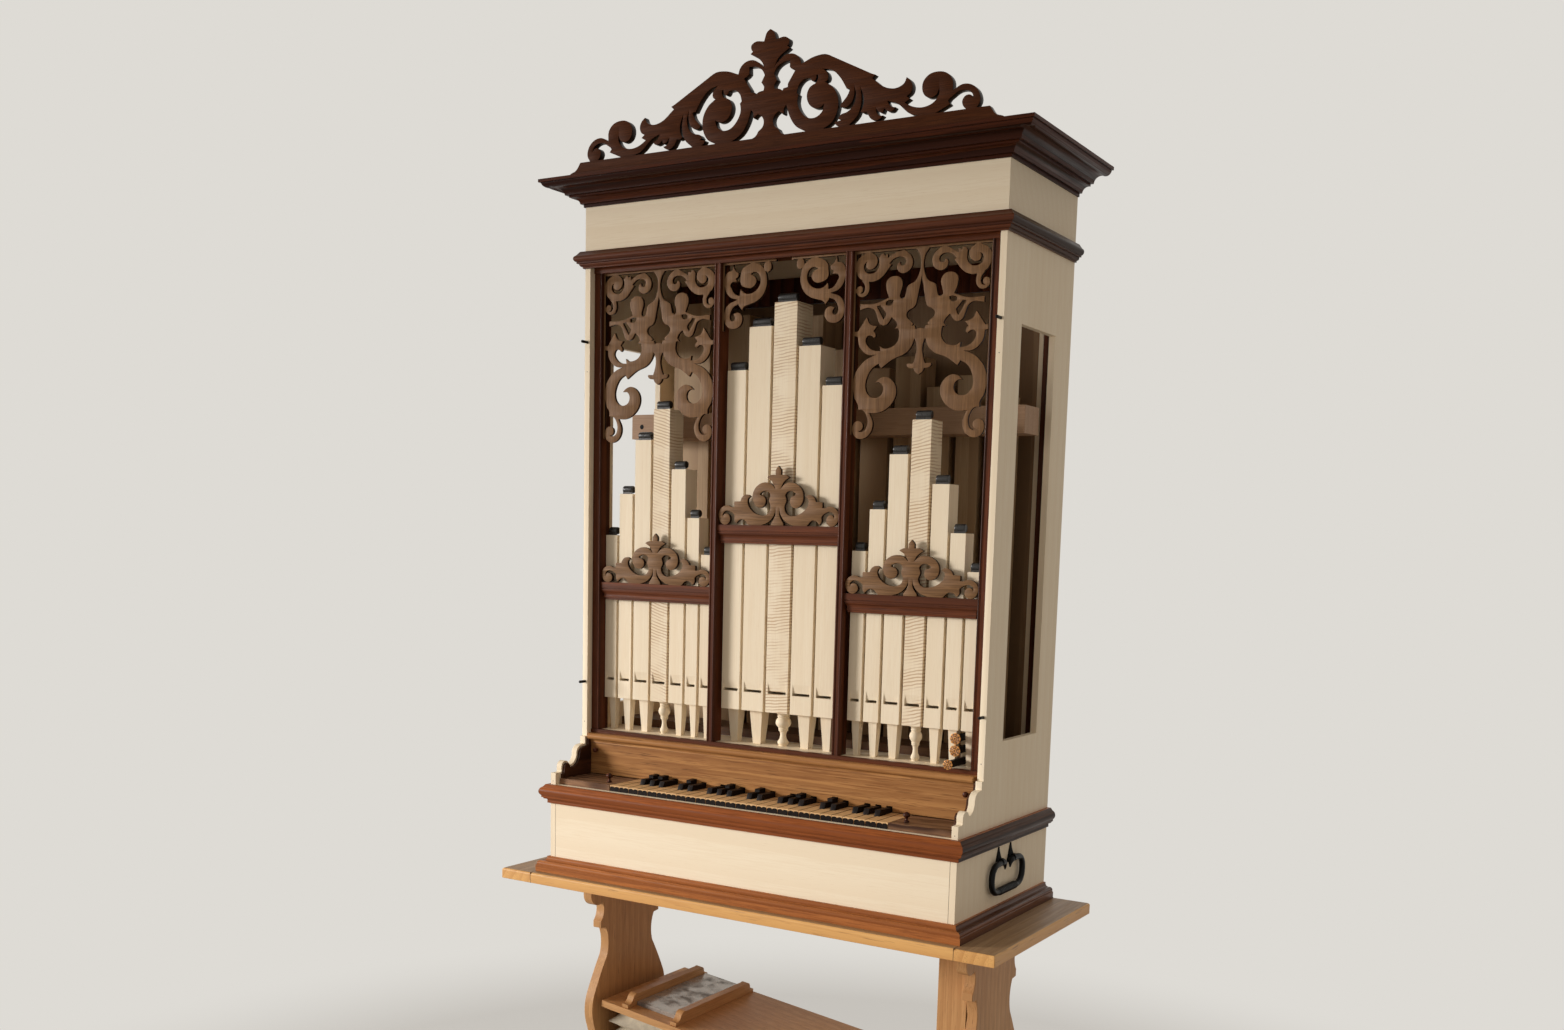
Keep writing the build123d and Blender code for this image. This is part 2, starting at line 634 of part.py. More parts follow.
def transom(bay):
    # Small bed moulding with a cove, a quirk and a plain top band, returned at both ends.
    x0, x1 = BAYS[bay]
    middle = (x0 + x1) / 2
    top = up(CENTRE_TRANSOM_TOP if bay == "centre" else SIDE_TRANSOM_TOP)
    face = frame_y0 + TRANSOM_SETBACK
    back = face + TRANSOM_DEPTH
    low = top - TRANSOM_HEIGHT
    band = top - TRANSOM_HEIGHT / 3
    profile = [(6, low), (6, low + 4), (4.5, low + 4), (4.5, low + 7), (4, low + 14, 1.5, low + 17),
               (1.5, band - 4), (0, band - 4), (0, band - 2), (2, band - 2), (2, band), (0, band), (0, top)]
    side = fitted(profile, lambda recess, z: (face + recess, z))
    left = fitted(profile, lambda recess, z: (x0 + recess, z))
    right = fitted(profile, lambda recess, z: (x1 - recess, z))
    across = along_y((middle, low), left + [(middle, top)], face, back)
    across += along_y((middle, low), right + [(middle, top)], face, back)
    return along_x((back, low), side + [(back, top)], x0, x1) & across


def transom_crest(bay):
    # Pierced crest of two scrolls about a flame, standing on the transom; drawn as half of a crest 269 wide.
    x0, x1 = BAYS[bay]
    centre = bay == "centre"
    base = up(CENTRE_TRANSOM_TOP if centre else SIDE_TRANSOM_TOP)
    middle = (x0 + x1) / 2
    wide = (x1 - middle - CREST_END_GAP) / 134.5
    tall = (CENTRE_CREST_HEIGHT if centre else SIDE_CREST_HEIGHT) / 103
    drawing = [(0, 103), (4, 99, 6.5, 92, 5.5, 87.5), (14.5, 87.5, 24.7, 83),
               (16, 78.4, 12, 74.5, 9, 70.6, 6, 63.6),
               (9, 67.5, 16, 72, 25.5, 74.5, 36.5, 73.7, 47.3, 68, 54.3, 60.4, 57, 49.5, 54.3, 39.3, 47.3, 32.3,
                38, 30.4, 29.3, 35.4, 27, 43.3, 29.3, 48.7, 35, 51, 39.8, 53),
               (39.5, 55.8, 35.6, 58, 27, 60, 20, 57.3, 16.8, 51.8), (19.5, 43.3),
               (16, 36.2, 16, 27.6, 20.8, 20.6, 30, 17, 39.5, 17.5, 50.4, 21.4, 61.4, 27.6, 66.8, 35.4,
                67.6, 44.8, 65.3, 48, 61.4, 48.7),
               (66, 52.6, 72.3, 53, 79.3, 50.3, 83.3, 44.8, 84.8, 41.4), (98.6, 41), (99.2, 36, 98.6, 31.5),
               (102.8, 31),
               (105, 32.3, 116, 34, 127, 30.8, 133.3, 23.7, 134.5, 15, 131, 5.8, 122.3, 0, 113, 1.8, 108.3, 7.3,
                108.6, 13.6, 113.7, 19, 119.2, 19.5, 123, 17.5, 124.2, 13.6),
               (125.3, 17, 123, 21.4, 116, 24.8, 108.3, 22.6, 100.4, 19.5, 98, 16.7),
               (98.6, 10.4, 96.5, 5, 93.4, 2.3), (89.5, 6.5, 83.3, 9.7, 75.4, 8.9, 69.2, 3.4, 65.3, 0), (36, 0),
               (30, 2.6, 19.2, 6.5, 11.4, 12.8, 6.7, 19.8, 4.3, 29.2), (4.5, 18.3, 7.5, 12, 12, 5.8, 13.7, 3.7),
               (13.7, 0), (0, 0)]
    front = frame_y0 + CREST_SETBACK
    right = fret(drawing, lambda x, h: (middle + wide * x, base + tall * h), front, front + CREST_THICKNESS)
    return right + mirror(right, about=Plane.YZ.offset(middle))


def side_shade_half(fit, y0, y1):
    # Half of the pierced shade over a side bay, drawn from the middle of the bay outwards: two volutes under
    # the rail, a small curl below them, and a winged half-figure with a horn that ends in scrolled leaves.
    volutes = [(61.4, 1198),
               (68, 1191, 75, 1182, 84, 1174.5, 94.5, 1170.5, 106.4, 1170, 118, 1172, 126, 1178, 132, 1187,
                133.6, 1197, 132, 1206, 126, 1214, 117, 1219.5, 106.4, 1223, 97, 1219, 91.5, 1212.5, 90, 1204,
                94, 1196.5, 102, 1192, 110, 1193.5, 113.3, 1199.5, 110.5, 1206.5),
               (116, 1202.5, 117.5, 1195.5, 114.5, 1189, 107, 1185, 98, 1185, 90.5, 1189.5, 86.5, 1197,
                86, 1205, 87, 1212),
               (82, 1218), (77.5, 1219), (75.5, 1214.5), (69, 1217), (69.5, 1209.5),
               (64, 1212.5, 57.5, 1218, 43.3, 1223.5, 30.3, 1218, 21.6, 1209, 18.8, 1199.5, 21.6, 1189.5,
                29.2, 1183, 38, 1181, 45.5, 1183.5, 50, 1190, 49.5, 1197.5, 44, 1201.5),
               (43.3, 1197.2, 38, 1194.6, 33.5, 1198, 33, 1203.7, 38, 1208.5, 45.5, 1210.5, 54, 1209,
                62, 1204.5, 66.2, 1200)]
    curl = [(121.5, 1174), (116, 1167, 113.5, 1158, 117, 1151.5, 123.5, 1151),
            (119, 1154, 118.5, 1159, 121, 1163, 126, 1163.5, 131, 1160.5, 133.5, 1154.5, 129, 1148,
             121.6, 1144, 113, 1145, 106.5, 1151.5, 104.7, 1160, 106.4, 1171)]
    figure = [(0, 1226), (14, 1223),
              (6, 1212, 3.2, 1204, 2.8, 1190, 4.2, 1182, 8.6, 1172, 14, 1164.6, 21.6, 1161.3),
              (27, 1158, 30, 1150.5, 32, 1140.7, 35, 1137, 38.6, 1136.3, 41.8, 1139.6, 42, 1147, 39.5, 1154,
               38.5, 1160, 38.5, 1167, 42, 1173, 48, 1176.3, 55.3, 1177.2, 63, 1175.5, 69, 1170.5,
               71.5, 1163, 70, 1155, 66, 1147, 64, 1139.6),
              (76, 1135, 90, 1131, 110, 1130.5, 122.5, 1131.5), (122.5, 1121),
              (108, 1123.5, 98, 1122.5, 92, 1118, 88, 1110, 85, 1100, 79, 1092.5, 72, 1091, 65.5, 1094,
               61, 1101, 57.5, 1104.8),
              (52, 1100.5, 46.6, 1093, 45.5, 1089.6), (51, 1084),
              (43.3, 1083, 41.2, 1075.5, 42.3, 1065.7, 47.7, 1057, 56.4, 1051.6, 67.3, 1049.4, 76, 1051.6,
               80.3, 1054.8),
              (78.6, 1045.5),
              (89, 1046, 96, 1049, 103, 1054, 108.5, 1061, 109, 1069, 103, 1074.5, 96, 1072.5, 92.3, 1069.5),
              (89, 1072), (90, 1077.5), (94, 1082), (86.8, 1090.5), (94, 1091.5), (102, 1095.5),
              (108.5, 1107.5), (112, 1101, 114, 1094, 118, 1090, 126, 1082.5), (134, 1082.5), (134, 1075),
              (126, 1073), (124, 1060.5, 117.5, 1049.5, 108.5, 1042, 97, 1038.5, 87, 1039.5),
              (102, 1034, 115, 1025.5, 125, 1013.5, 131.4, 999.4, 133.5, 984, 131.4, 969, 126, 957, 121, 949),
              (121, 940.5), (113, 940.5), (108.6, 936.3, 102, 927.7, 100.3, 914.6, 103, 906, 110.7, 900.5,
                                           119, 901.6),
              (113, 903.7, 109.7, 909, 111, 916, 117.3, 920, 126, 919, 131.4, 911, 131.4, 901.6, 126, 892,
               115, 887.4, 102, 890.7, 92.3, 901.6, 89.4, 914.6, 92.3, 925.5, 97.7, 934.8),
              (82.5, 934.2, 67.3, 938.5, 53, 949.4, 44.4, 964.6, 44, 977.7, 48.8, 988.5, 56.4, 995,
               67.3, 999, 76, 997.2, 82.5, 993, 86.8, 989),
              (78, 989, 72.7, 985.3, 70, 977.7, 72.7, 968, 81.4, 962.4, 92.3, 962.4, 102, 969, 107, 980,
               106.4, 993, 101, 1006, 92.3, 1017, 81, 1022.5),
              (76, 1014.5), (60.7, 1025.5, 50, 1031, 36.8, 1035.3, 26, 1040.7, 17.3, 1049.4, 13, 1058,
                             10.7, 1065),
              (6.4, 1056, 6, 1049.5, 7.5, 1040, 9, 1027.5, 12, 1020.5), (23.8, 1021),
              (24.2, 1016.8, 20.5, 1013.5, 10.7, 1012.4), (8, 1006.5), (0, 1001)]
    between_wings = [(0, 1174), (3.1, 1160, 6, 1145, 7.5, 1134, 10.7, 1125.5, 14, 1120),
                     (26, 1113, 28, 1109, 26, 1101.6, 19, 1096), (14, 1091), (17, 1087.5), (11, 1088), (9, 1081),
                     (5, 1082.5), (0, 1083)]
    under_arm = [(70, 1133), (63, 1135.5), (55, 1135), (55.6, 1130), (63, 1125.3), (70, 1127.5)]
    elbow = [(88.6, 1125.5), (81.4, 1127), (69.4, 1113.5), (69.9, 1108), (73.8, 1101.6)]
    solid = fret(volutes, fit, y0, y1) + fret(curl, fit, y0, y1) + fret(figure, fit, y0, y1)
    for hole in (between_wings, under_arm, elbow):
        solid -= fret(hole, fit, y0, y1)
    return solid


def centre_shade_half(fit, y0, y1):
    # One corner bracket over the centre bay: a great volute, a leaf and a small volute below them.
    bracket = [(94, 1198),
               (90, 1212.4, 79, 1219.6, 66.6, 1223.5, 54, 1219, 44, 1211.5, 38, 1200, 36, 1187.4, 38, 1173,
                45, 1160.6, 56, 1151.6, 68.4, 1146.6, 79, 1144.5, 86, 1141, 89.5, 1135.6),
               (97, 1144.5), (97, 1147.2),
               (102.3, 1146.3, 109.4, 1141.8, 114.8, 1133.8, 117, 1125, 114.8, 1117.7, 109.4, 1116,
                105, 1119.5, 106, 1125, 109.4, 1129.3),
               (106, 1130.2, 99.6, 1131.6, 92.5, 1128.4, 89, 1121.3, 90, 1112.4, 95, 1105.2, 106, 1101.3,
                116.6, 1102.5, 124.6, 1108.8, 130.5, 1121.3, 129, 1133.8, 123.7, 1144.5, 114.8, 1150.8,
                104, 1154.3),
               (100.5, 1156),
               (109.4, 1158, 118.4, 1162.4, 124.6, 1169.5, 129, 1178.4, 131, 1191, 128, 1201.6, 122, 1208.8,
                113, 1210.6),
               (111, 1223), (105, 1209.7, 98.4, 1205.2), (99.6, 1199), (105, 1195.4), (102.3, 1190),
               (108.5, 1190, 115.7, 1186.5, 116.6, 1182, 112, 1176.6, 108.5, 1169.5, 102.3, 1164, 95, 1163.3),
               (95, 1167.7), (93.7, 1174.5),
               (86, 1167.7, 79, 1165.4, 68.4, 1166, 59.4, 1170.4, 52.3, 1178.4, 49.6, 1188, 52.3, 1198,
                59.4, 1204.3, 66.6, 1205, 72, 1201.6),
               (67.5, 1200, 62, 1195.4, 59, 1189, 63, 1180.2, 72, 1176, 82.6, 1177.5, 91.6, 1182, 95, 1191)]
    bud = [(27, 1212.4), (35, 1223, 43, 1212.4), (35, 1203.5, 27, 1212.4)]
    return fret(bracket, fit, y0, y1) + fret(bud, fit, y0, y1)


def pipe_shade(bay):
    # Drawn from the middle of a bay 273.5 wide, or 267 in the centre, with the rail 1226 above the table.
    x0, x1 = BAYS[bay]
    rail = up(TOP_RAIL_BOTTOM)
    middle = (x0 + x1) / 2
    centre = bay == "centre"
    y0 = frame_y0 + SHADE_SETBACK
    y1 = y0 + SHADE_THICKNESS
    wide = (x1 - middle) / (133.5 if centre else 136.75)

    def fit(across, height):
        return middle + wide * across, rail + height - 1226

    sides = CENTRE_SHADE_SIDES if centre else SIDE_SHADE_SIDES
    opening = middle + (CENTRE_SHADE_OPENING / 2 if centre else 0)
    shade = board(opening, x1, y0, y1, rail - SHADE_BORDER, rail)
    shade += board(x1 - SHADE_BORDER, x1, y0, y1, rail - sides, rail)
    shade += centre_shade_half(fit, y0, y1) if centre else side_shade_half(fit, y0, y1)
    other = mirror(shade, about=Plane.YZ.offset(middle))
    return [shade, other] if centre else [shade + other]


def bay_pipes(bay):
    # The left edge, width and top of each pipe; together they fill the bay but for its two margins.
    x0, x1 = BAYS[bay]
    before, after = PIPE_MARGINS[bay]
    share = (x1 - x0 - before - after + PIPE_GAP) / sum(pitch for pitch, top in PIPES[bay])
    x = x0 + before
    placed = []
    for pitch, top in PIPES[bay]:
        placed.append((x, pitch * share - PIPE_GAP, up(top)))
        x += pitch * share
    return placed


def front_pipe(x, width, top):
    # Open at the top, with a slot for its mouth and a slanting cut down to the thin lip above the slot.
    y0 = at(PIPE_FRONT)
    y1 = y0 + width * PIPE_DEPTH_RATIO
    low = up(PIPE_BODY_BOTTOM)
    mouth = up(PIPE_MOUTH_Z)
    wall = PIPE_WALL
    pipe = board(x, x + width, y0, y1, low, top)
    pipe -= board(x + wall, x + width - wall, y0 + wall, y1 - wall, mouth - PIPE_MOUTH_HEIGHT, top)
    pipe -= board(x + wall, x + width - wall, y0, y0 + wall, mouth - PIPE_MOUTH_HEIGHT, mouth)
    lip = [(y0 + wall - PIPE_LIP_THICKNESS, mouth), (y0, mouth + PIPE_LIP_HEIGHT)]
    return pipe - along_x((y0, mouth), lip, x + wall, x + width - wall)


def front_pipes(bay):
    return Compound(children=[front_pipe(*sizes) for sizes in bay_pipes(bay)])


def pipe_foot(x, width, middle):
    top, low = up(PIPE_BODY_BOTTOM), up(TOE_BOARD_TOP)
    depth = width * PIPE_DEPTH_RATIO
    cx, cy = x + width / 2, at(PIPE_FRONT) + depth / 2
    if middle:
        h, r = top - low, width * TURNED_FOOT_SHARE
        shape = [(0.5, 0), (0.5, 0.05), (0.68, 0.08), (0.68, 0.14), (0.46, 0.26), (0.44, 0.35), (0.56, 0.44),
                 (0.76, 0.5), (0.94, 0.6), (1, 0.69), (0.92, 0.79), (0.68, 0.87), (0.74, 0.92), (0.95, 1)]
        return Pos(cx, cy, low) * turned([(share * r, rise * h) for share, rise in shape])
    wide, narrow = width * FOOT_TOP_SHARE, width * FOOT_END_SHARE
    upper = Pos(cx, cy, top) * Rectangle(wide, wide)
    lower = Pos(cx, cy, low) * Rectangle(narrow, narrow)
    return loft([lower, upper], ruled=True)


def pipe_feet():
    feet = []
    for bay in BAYS:
        for number, (x, width, top) in enumerate(bay_pipes(bay)):
            feet.append(pipe_foot(x, width, number == len(PIPES[bay]) // 2))
    return Compound(children=feet)


def tuning_rolls():
    # A soft lead flap let into the front wall of each pipe and rolled back over its mouth.
    rolls = []
    for bay in BAYS:
        for x, width, top in bay_pipes(bay):
            length = width - 2 * PIPE_WALL
            y = at(PIPE_FRONT) + ROLL_SETBACK
            end = Plane(origin=(x + PIPE_WALL, y, top + ROLL_LIFT), z_dir=(1, 0, 0))
            roll = extrude(end * RegularPolygon(ROLL_RADIUS, ROLL_SIDES), amount=length)
            tongue = board(x + PIPE_WALL, x + width - PIPE_WALL, at(PIPE_FRONT) + PIPE_WALL,
                           at(PIPE_FRONT) + PIPE_WALL + ROLL_TONGUE,
                           top - ROLL_TONGUE_LENGTH, top + ROLL_LIFT)
            rolls.append(roll + tongue)
    return Compound(children=rolls)


def toe_board():
    return board(-inner, inner, frame_y0 + BOTTOM_RAIL_THICKNESS, at(PIPE_FRONT + TOE_BOARD_DEPTH),
                 up(TOE_BOARD_TOP - TOE_BOARD_THICKNESS), up(TOE_BOARD_TOP))


def wind_chest():
    front = at(NAME_BOARD_FRONT + NAME_BOARD_THICKNESS + CHEST_SET)
    back = at(UPPER_BACK) - BACK_THICKNESS
    step = at(PIPE_FRONT + TOE_BOARD_DEPTH)
    low, high = up(TOE_BOARD_TOP - TOE_BOARD_THICKNESS), up(REAR_CHEST_TOP)
    moves = [(front, low), (step, low), (step, high), (back, high), (back, up(CHEST_BOTTOM))]
    return along_x((front, up(CHEST_BOTTOM)), moves, -inner, inner)


def rack_rail():
    return board(-inner, inner, at(RACK_FRONT), at(RACK_FRONT + RACK_DEPTH), up(RACK_BOTTOM), up(RACK_TOP))


def rear_pipes():
    # They lean against the back of the rack rail, which they are tied to.
    pipes = []
    front = RACK_FRONT + RACK_DEPTH
    deepest = UPPER_BACK - REAR_FRAME_THICKNESS - REAR_PIPE_CLEARANCE - front
    gaps = REAR_PIPE_GAP * (len(REAR_PIPE_WIDTHS) - 1)
    share = (2 * (inner - REAR_PIPE_END_GAP) - gaps) / sum(REAR_PIPE_WIDTHS)
    x = -inner + REAR_PIPE_END_GAP
    y0, low = at(front), up(REAR_CHEST_TOP)
    wall = REAR_PIPE_WALL
    for number, top in zip(REAR_PIPE_WIDTHS, REAR_PIPE_TOPS):
        width = number * share
        y1 = y0 + min(width * PIPE_DEPTH_RATIO, deepest)
        pipe = board(x, x + width, y0, y1, low, up(top))
        pipe -= board(x + wall, x + width - wall, y0 + wall, y1 - wall,
                      low + REAR_PIPE_BLOCK, up(top))
        pipes.append(pipe)
        x += width + REAR_PIPE_GAP
    return Compound(children=pipes)


def rear_frame():
    y0, y1 = at(UPPER_BACK) - REAR_FRAME_THICKNESS, at(UPPER_BACK)
    frame = board(-inner, inner, y0, y1, up(REAR_RAIL_BOTTOM), up(SIDE_TOP_Z))
    for side in (-1, 1):
        x0, x1 = sorted((side * (inner - REAR_POST_WIDTH), side * inner))
        frame += board(x0, x1, y0, y1, up(REAR_CHEST_TOP), up(REAR_RAIL_BOTTOM))
    return frame


def lower_back():
    return board(-inner, inner, at(UPPER_BACK) - BACK_THICKNESS, at(UPPER_BACK), up(0), up(REAR_CHEST_TOP))


def case_floor():
    return board(-inner, inner, at(PANEL_THICKNESS), at(UPPER_BACK) - BACK_THICKNESS, up(0),
                 up(FLOOR_THICKNESS))


STOP_X = bay_pipes("right")[-1][0] - STOP_FROM_LAST_PIPE


def stop_z(number):
    # The three stops stand one above another over the toe board.
    return up(TOE_BOARD_TOP) + STOP_ROSE_RADIUS + STOP_CLEARANCE + (2 - number) * STOP_PITCH


def stop_knob(number):
    x, z = STOP_X, stop_z(number)
    y = at(STOP_PUSHED_Y - STOP_PULLED[number] * STOP_TRAVEL)
    face = Plane(origin=(x, y, z), z_dir=(0, -1, 0))
    rose = extrude(face * RegularPolygon(STOP_ROSE_RADIUS, TURNED_SIDES), amount=STOP_ROSE_THICKNESS)
    side, tall = STOP_ROD_WIDTH / 2, STOP_ROD_HEIGHT / 2
    return rose + board(x - side, x + side, y, y + STOP_ROD_LENGTH, z - tall, z + tall)


def stop_jamb():
    y0 = at(JAMB_FRONT)
    jamb = board(STOP_X - JAMB_WIDTH / 2, STOP_X + JAMB_WIDTH / 2, y0, y0 + JAMB_THICKNESS,
                 up(TOE_BOARD_TOP), up(PIPE_BODY_BOTTOM - 1))
    side = STOP_ROD_WIDTH / 2 + RUNNING_GAP
    tall = STOP_ROD_HEIGHT / 2 + RUNNING_GAP
    for z in (stop_z(0), stop_z(1), stop_z(2)):
        jamb -= board(STOP_X - side, STOP_X + side, y0, y0 + JAMB_THICKNESS, z - tall, z + tall)
    return jamb


def upper_moulding():
    p = UPPER_MOULDING_PROJECTION
    low, high = up(UPPER_MOULDING_BOTTOM), up(UPPER_MOULDING_TOP)
    profile = [(p - 13, low), (p - 13, low + 3), (p - 9, low + 5, p - 8, low + 9), (p - 4, low + 9),
               (p - 4, low + 12), (p + 1, low + 18, p - 3, low + 25), (p - 9, high)]
    return wrap_moulding(profile, CASE_WIDTH, at(UPPER_SETBACK), at(UPPER_BACK))


def frieze():
    w = CASE_WIDTH / 2
    y0, y1 = at(UPPER_SETBACK), at(UPPER_BACK)
    ring = board(-w, w, y0, y1, up(FRIEZE_BOTTOM), up(FRIEZE_TOP))
    t = FRIEZE_BOARD
    return ring - board(-w + t, w - t, y0 + t, y1 - t, up(FRIEZE_BOTTOM), up(FRIEZE_TOP))


def cornice_moulding():
    p = CORNICE_PROJECTION
    low, high = up(FRIEZE_TOP - 3), up(CORNICE_TOP)
    profile = [(3, low), (3, low + 6), (8, low + 6), (12, low + 14, 24, low + 17), (24, low + 21),
               (30, low + 21), (34, low + 30, p - 20, low + 34), (p - 6, low + 37, p - 4, low + 42),
               (p, low + 42), (p, high)]
    return wrap_moulding(profile, CASE_WIDTH, at(UPPER_SETBACK), at(UPPER_BACK))


def roof_board():
    w = CASE_WIDTH / 2
    return board(-w, w, at(UPPER_SETBACK), at(UPPER_BACK), up(FRIEZE_TOP), up(FRIEZE_TOP + ROOF_THICKNESS))


def crest():
    # Pierced crest, drawn as its right half, 468 to the middle and 214 high on a solid foot 27 high.
    base = up(CORNICE_TOP)
    wide = (half + TOP_CREST_OVERHANG) / 468
    tall = TOP_CREST_HEIGHT / 214
    edge = [(0, 0), (468, 0), (466, 8), (456, 10.5, 448, 17, 441, 27), (417, 27),
            (422, 34, 423, 44, 417, 57, 405, 66, 392, 68.5, 380, 65.5, 371, 60),
            (371.5, 72, 367, 84, 355, 92, 340, 95, 325, 92, 315, 83, 313, 72, 316, 61, 325, 54.5, 334, 54,
             342, 59, 345.5, 68.5),
            (346, 59, 340, 49, 330, 43, 318, 40, 305, 41, 290, 45.5, 280, 51.5), (290, 57), (283, 62),
            (290, 66, 294, 75, 290, 87, 282, 93.5), (279, 86, 270, 80, 258, 78, 245, 80.5, 228, 90, 214, 100.5),
            (220, 106), (212, 109),
            (200, 115, 190, 123, 170, 135, 150, 145, 130, 151, 110, 154.5, 95, 153.5, 80, 150, 68, 144.5),
            (66, 152, 61, 158, 52, 164, 40, 166, 28, 162, 18, 155, 11, 148), (14, 156, 23, 164, 33, 170, 42, 176),
            (37, 180), (41, 187, 40, 192), (33, 196, 25, 195.5, 13, 194.5), (12, 199, 9, 206, 5, 211.5, 0, 214)]
    beside_urn = [(12, 109), (11, 115), (13, 118.5), (17, 123.5),
                  (12, 130, 10, 135, 14, 143, 22, 149.5, 33, 153.5, 44, 154),
                  (43, 148, 44, 141.5, 49, 138, 55, 135), (48, 127, 42, 118, 40, 108.5), (31, 107.5), (29, 103.5),
                  (24, 107, 18, 108, 12, 109)]
    inner_scroll = [(88, 117.5), (90, 113.5), (96, 111.5, 99.5, 115, 100, 121),
                    (103, 121, 104, 115, 102, 110, 100, 108),
                    (91, 105, 83, 97, 81, 87, 84, 76, 93, 67, 105, 63.5, 112, 65.5, 118, 69.5),
                    (115, 59, 107, 51.5, 95, 48, 82, 51, 71, 60, 64, 72, 61, 85, 63.5, 92), (59.5, 96),
                    (61, 104, 65, 110, 72, 116, 80, 118.5, 88, 117.5)]
    outer_scroll = [(112, 130.5), (125, 128.5, 140, 120, 152, 107, 159, 96.5), (163, 90), (170, 89),
                    (167, 81, 160, 75, 153, 66, 151.5, 60.5),
                    (158, 58, 167, 59.5, 174, 65.5, 178, 74, 179.5, 84, 178.5, 93),
                    (182, 85, 182.5, 74, 179, 62, 173, 54, 163, 49.5, 152, 46.5), (147.5, 40.5), (153, 37.5),
                    (140.5, 35.5), (143, 31, 149, 27), (117, 27),
                    (131, 33, 142, 46, 147, 66, 143, 85, 131, 99.5, 118, 107.5),
                    (123, 109.5, 125, 115, 122, 123, 117, 128, 112, 130.5)]
    leaf = [(191, 89), (196, 79, 199, 67, 197.5, 55, 193, 47.5), (199, 44.2, 205, 45.5),
            (208, 39.5, 214, 32.5, 223, 28.5, 232, 30.5, 238, 35.5), (229, 37.5, 224, 50), (229, 43, 237, 40),
            (240, 47), (246, 42, 255, 40.5, 262, 46.5), (252, 50, 246, 59),
            (258, 56, 267, 50.5, 280, 38, 295, 30, 308, 27),
            (170, 27), (180, 34, 189, 45, 193.5, 60, 193.5, 77, 191, 89)]
    end_curl = [(340, 27), (352, 32.5, 360, 36, 367.5, 38.5), (363, 44), (367, 48.5),
                (376, 54.5, 388, 58.5, 399, 57, 407, 52, 410, 44),
                (406, 48.5, 400, 50, 393, 47, 389.5, 39.5, 392, 32, 397, 27)]
    at_foot = [(38.5, 78), (33.5, 73), (33, 64), (31, 62), (27, 66.5),
               (21, 68.5, 15, 63.5, 10.5, 57, 10.5, 49, 15, 42.5, 22, 38), (27, 31, 36, 27), (80, 27),
               (62, 36, 50, 49, 43, 63, 38.5, 78)]
    y0, y1 = at(CREST_FRONT), at(CREST_FRONT + CREST_BOARD)

    def fit(x, height):
        return wide * x, base + tall * height

    right = fret(edge, fit, y0, y1, TOP_CREST_SAG)
    for hole in (beside_urn, inner_scroll, outer_scroll, leaf, end_curl, at_foot):
        right -= fret(hole, fit, y0, y1, TOP_CREST_SAG)
    return right + mirror_x(right)


def handle_plate():
    # Two tall pointed spikes, each with an eye that holds one end of the bail.
    y, z = at(HANDLE_CENTRE), up(HANDLE_PIVOT_Z)
    x = half + HANDLE_STAND_OFF
    eye, wall = HANDLE_EYE_WIDTH / 2, HANDLE_ROD / 2 + 3
    spread, rise = HANDLE_SPIKE_HALF, HANDLE_SPIKE_RISE
    plates = []
    for side in (-1, 1):
        cy = y + side * HANDLE_EYE_SPACING
        moves = [(cy - spread, z - 4), (cy, z + rise), (cy + spread, z - 4), (cy + spread - 3, z - 10)]
        plate = along_x((cy - spread + 3, z - 10), moves, half, half + HANDLE_PLATE)
        plate += board(half, x, cy - eye, cy + eye, z - wall, z + wall)
        face = Plane(origin=(x, cy - eye, z), z_dir=(0, 1, 0))
        plate += extrude(face * RegularPolygon(wall, TURNED_SIDES), amount=2 * eye)
        plate -= extrude(face * RegularPolygon(HANDLE_ROD / 2 + RUNNING_GAP, TURNED_SIDES), amount=2 * eye)
        plates.append(plate)
    return plates


def handle_bail():
    # Eight-sided rod bent into a flat loop with a thick notched grip; its two ends turn in the eyes and
    # then point down.
    y, z = at(HANDLE_CENTRE), up(HANDLE_PIVOT_Z)
    x = half + HANDLE_STAND_OFF
    w, d = HANDLE_HALF, HANDLE_DROP
    end = HANDLE_EYE_SPACING - HANDLE_EYE_WIDTH / 2 - HANDLE_TAIL
    corner, r = HANDLE_BEND, HANDLE_ROD / 2
    points = [(y - end, z)]
    for number, (across, drop) in enumerate(((-1, 0), (-1, 1), (1, 1), (1, 0))):
        cy = y + across * (w - corner)
        cz = z - corner - drop * (d - 2 * corner)
        for step in range(HANDLE_BEND_FACETS + 1):
            turn = math.radians(90 * (1 + number + step / HANDLE_BEND_FACETS))
            points.append((cy + corner * math.cos(turn), cz + corner * math.sin(turn)))
    points.append((y + end, z))
    with BuildLine(Plane.YZ.offset(x)) as path:
        Polyline(*points)
    section = Plane(origin=path.line @ 0, z_dir=path.line % 0) * RegularPolygon(r, 8)
    bail = sweep(section, path=path.line, transition=Transition.RIGHT)
    grip, g = HANDLE_GRIP / 2, HANDLE_GRIP_HALF
    low, high = z - d - grip, z - d + grip
    notch = g / 4
    crown = [(y + g, high - 2)]
    for step in range(3, -4, -1):
        crown.append((y + step * notch, high + (2 if step % 2 else -1)))
    crown += [(y - g, high - 2), (y - g + 4, low + 1)]
    bail += along_x((y + g - 4, low + 1), crown, x - grip, x + grip)
    for side in (-1, 1):
        tip = [(0.6, 0), (r, HANDLE_HOOK)]
        bail += Pos(x, y + side * (end + r), z - HANDLE_HOOK) * turned(tip, 8)
    return bail


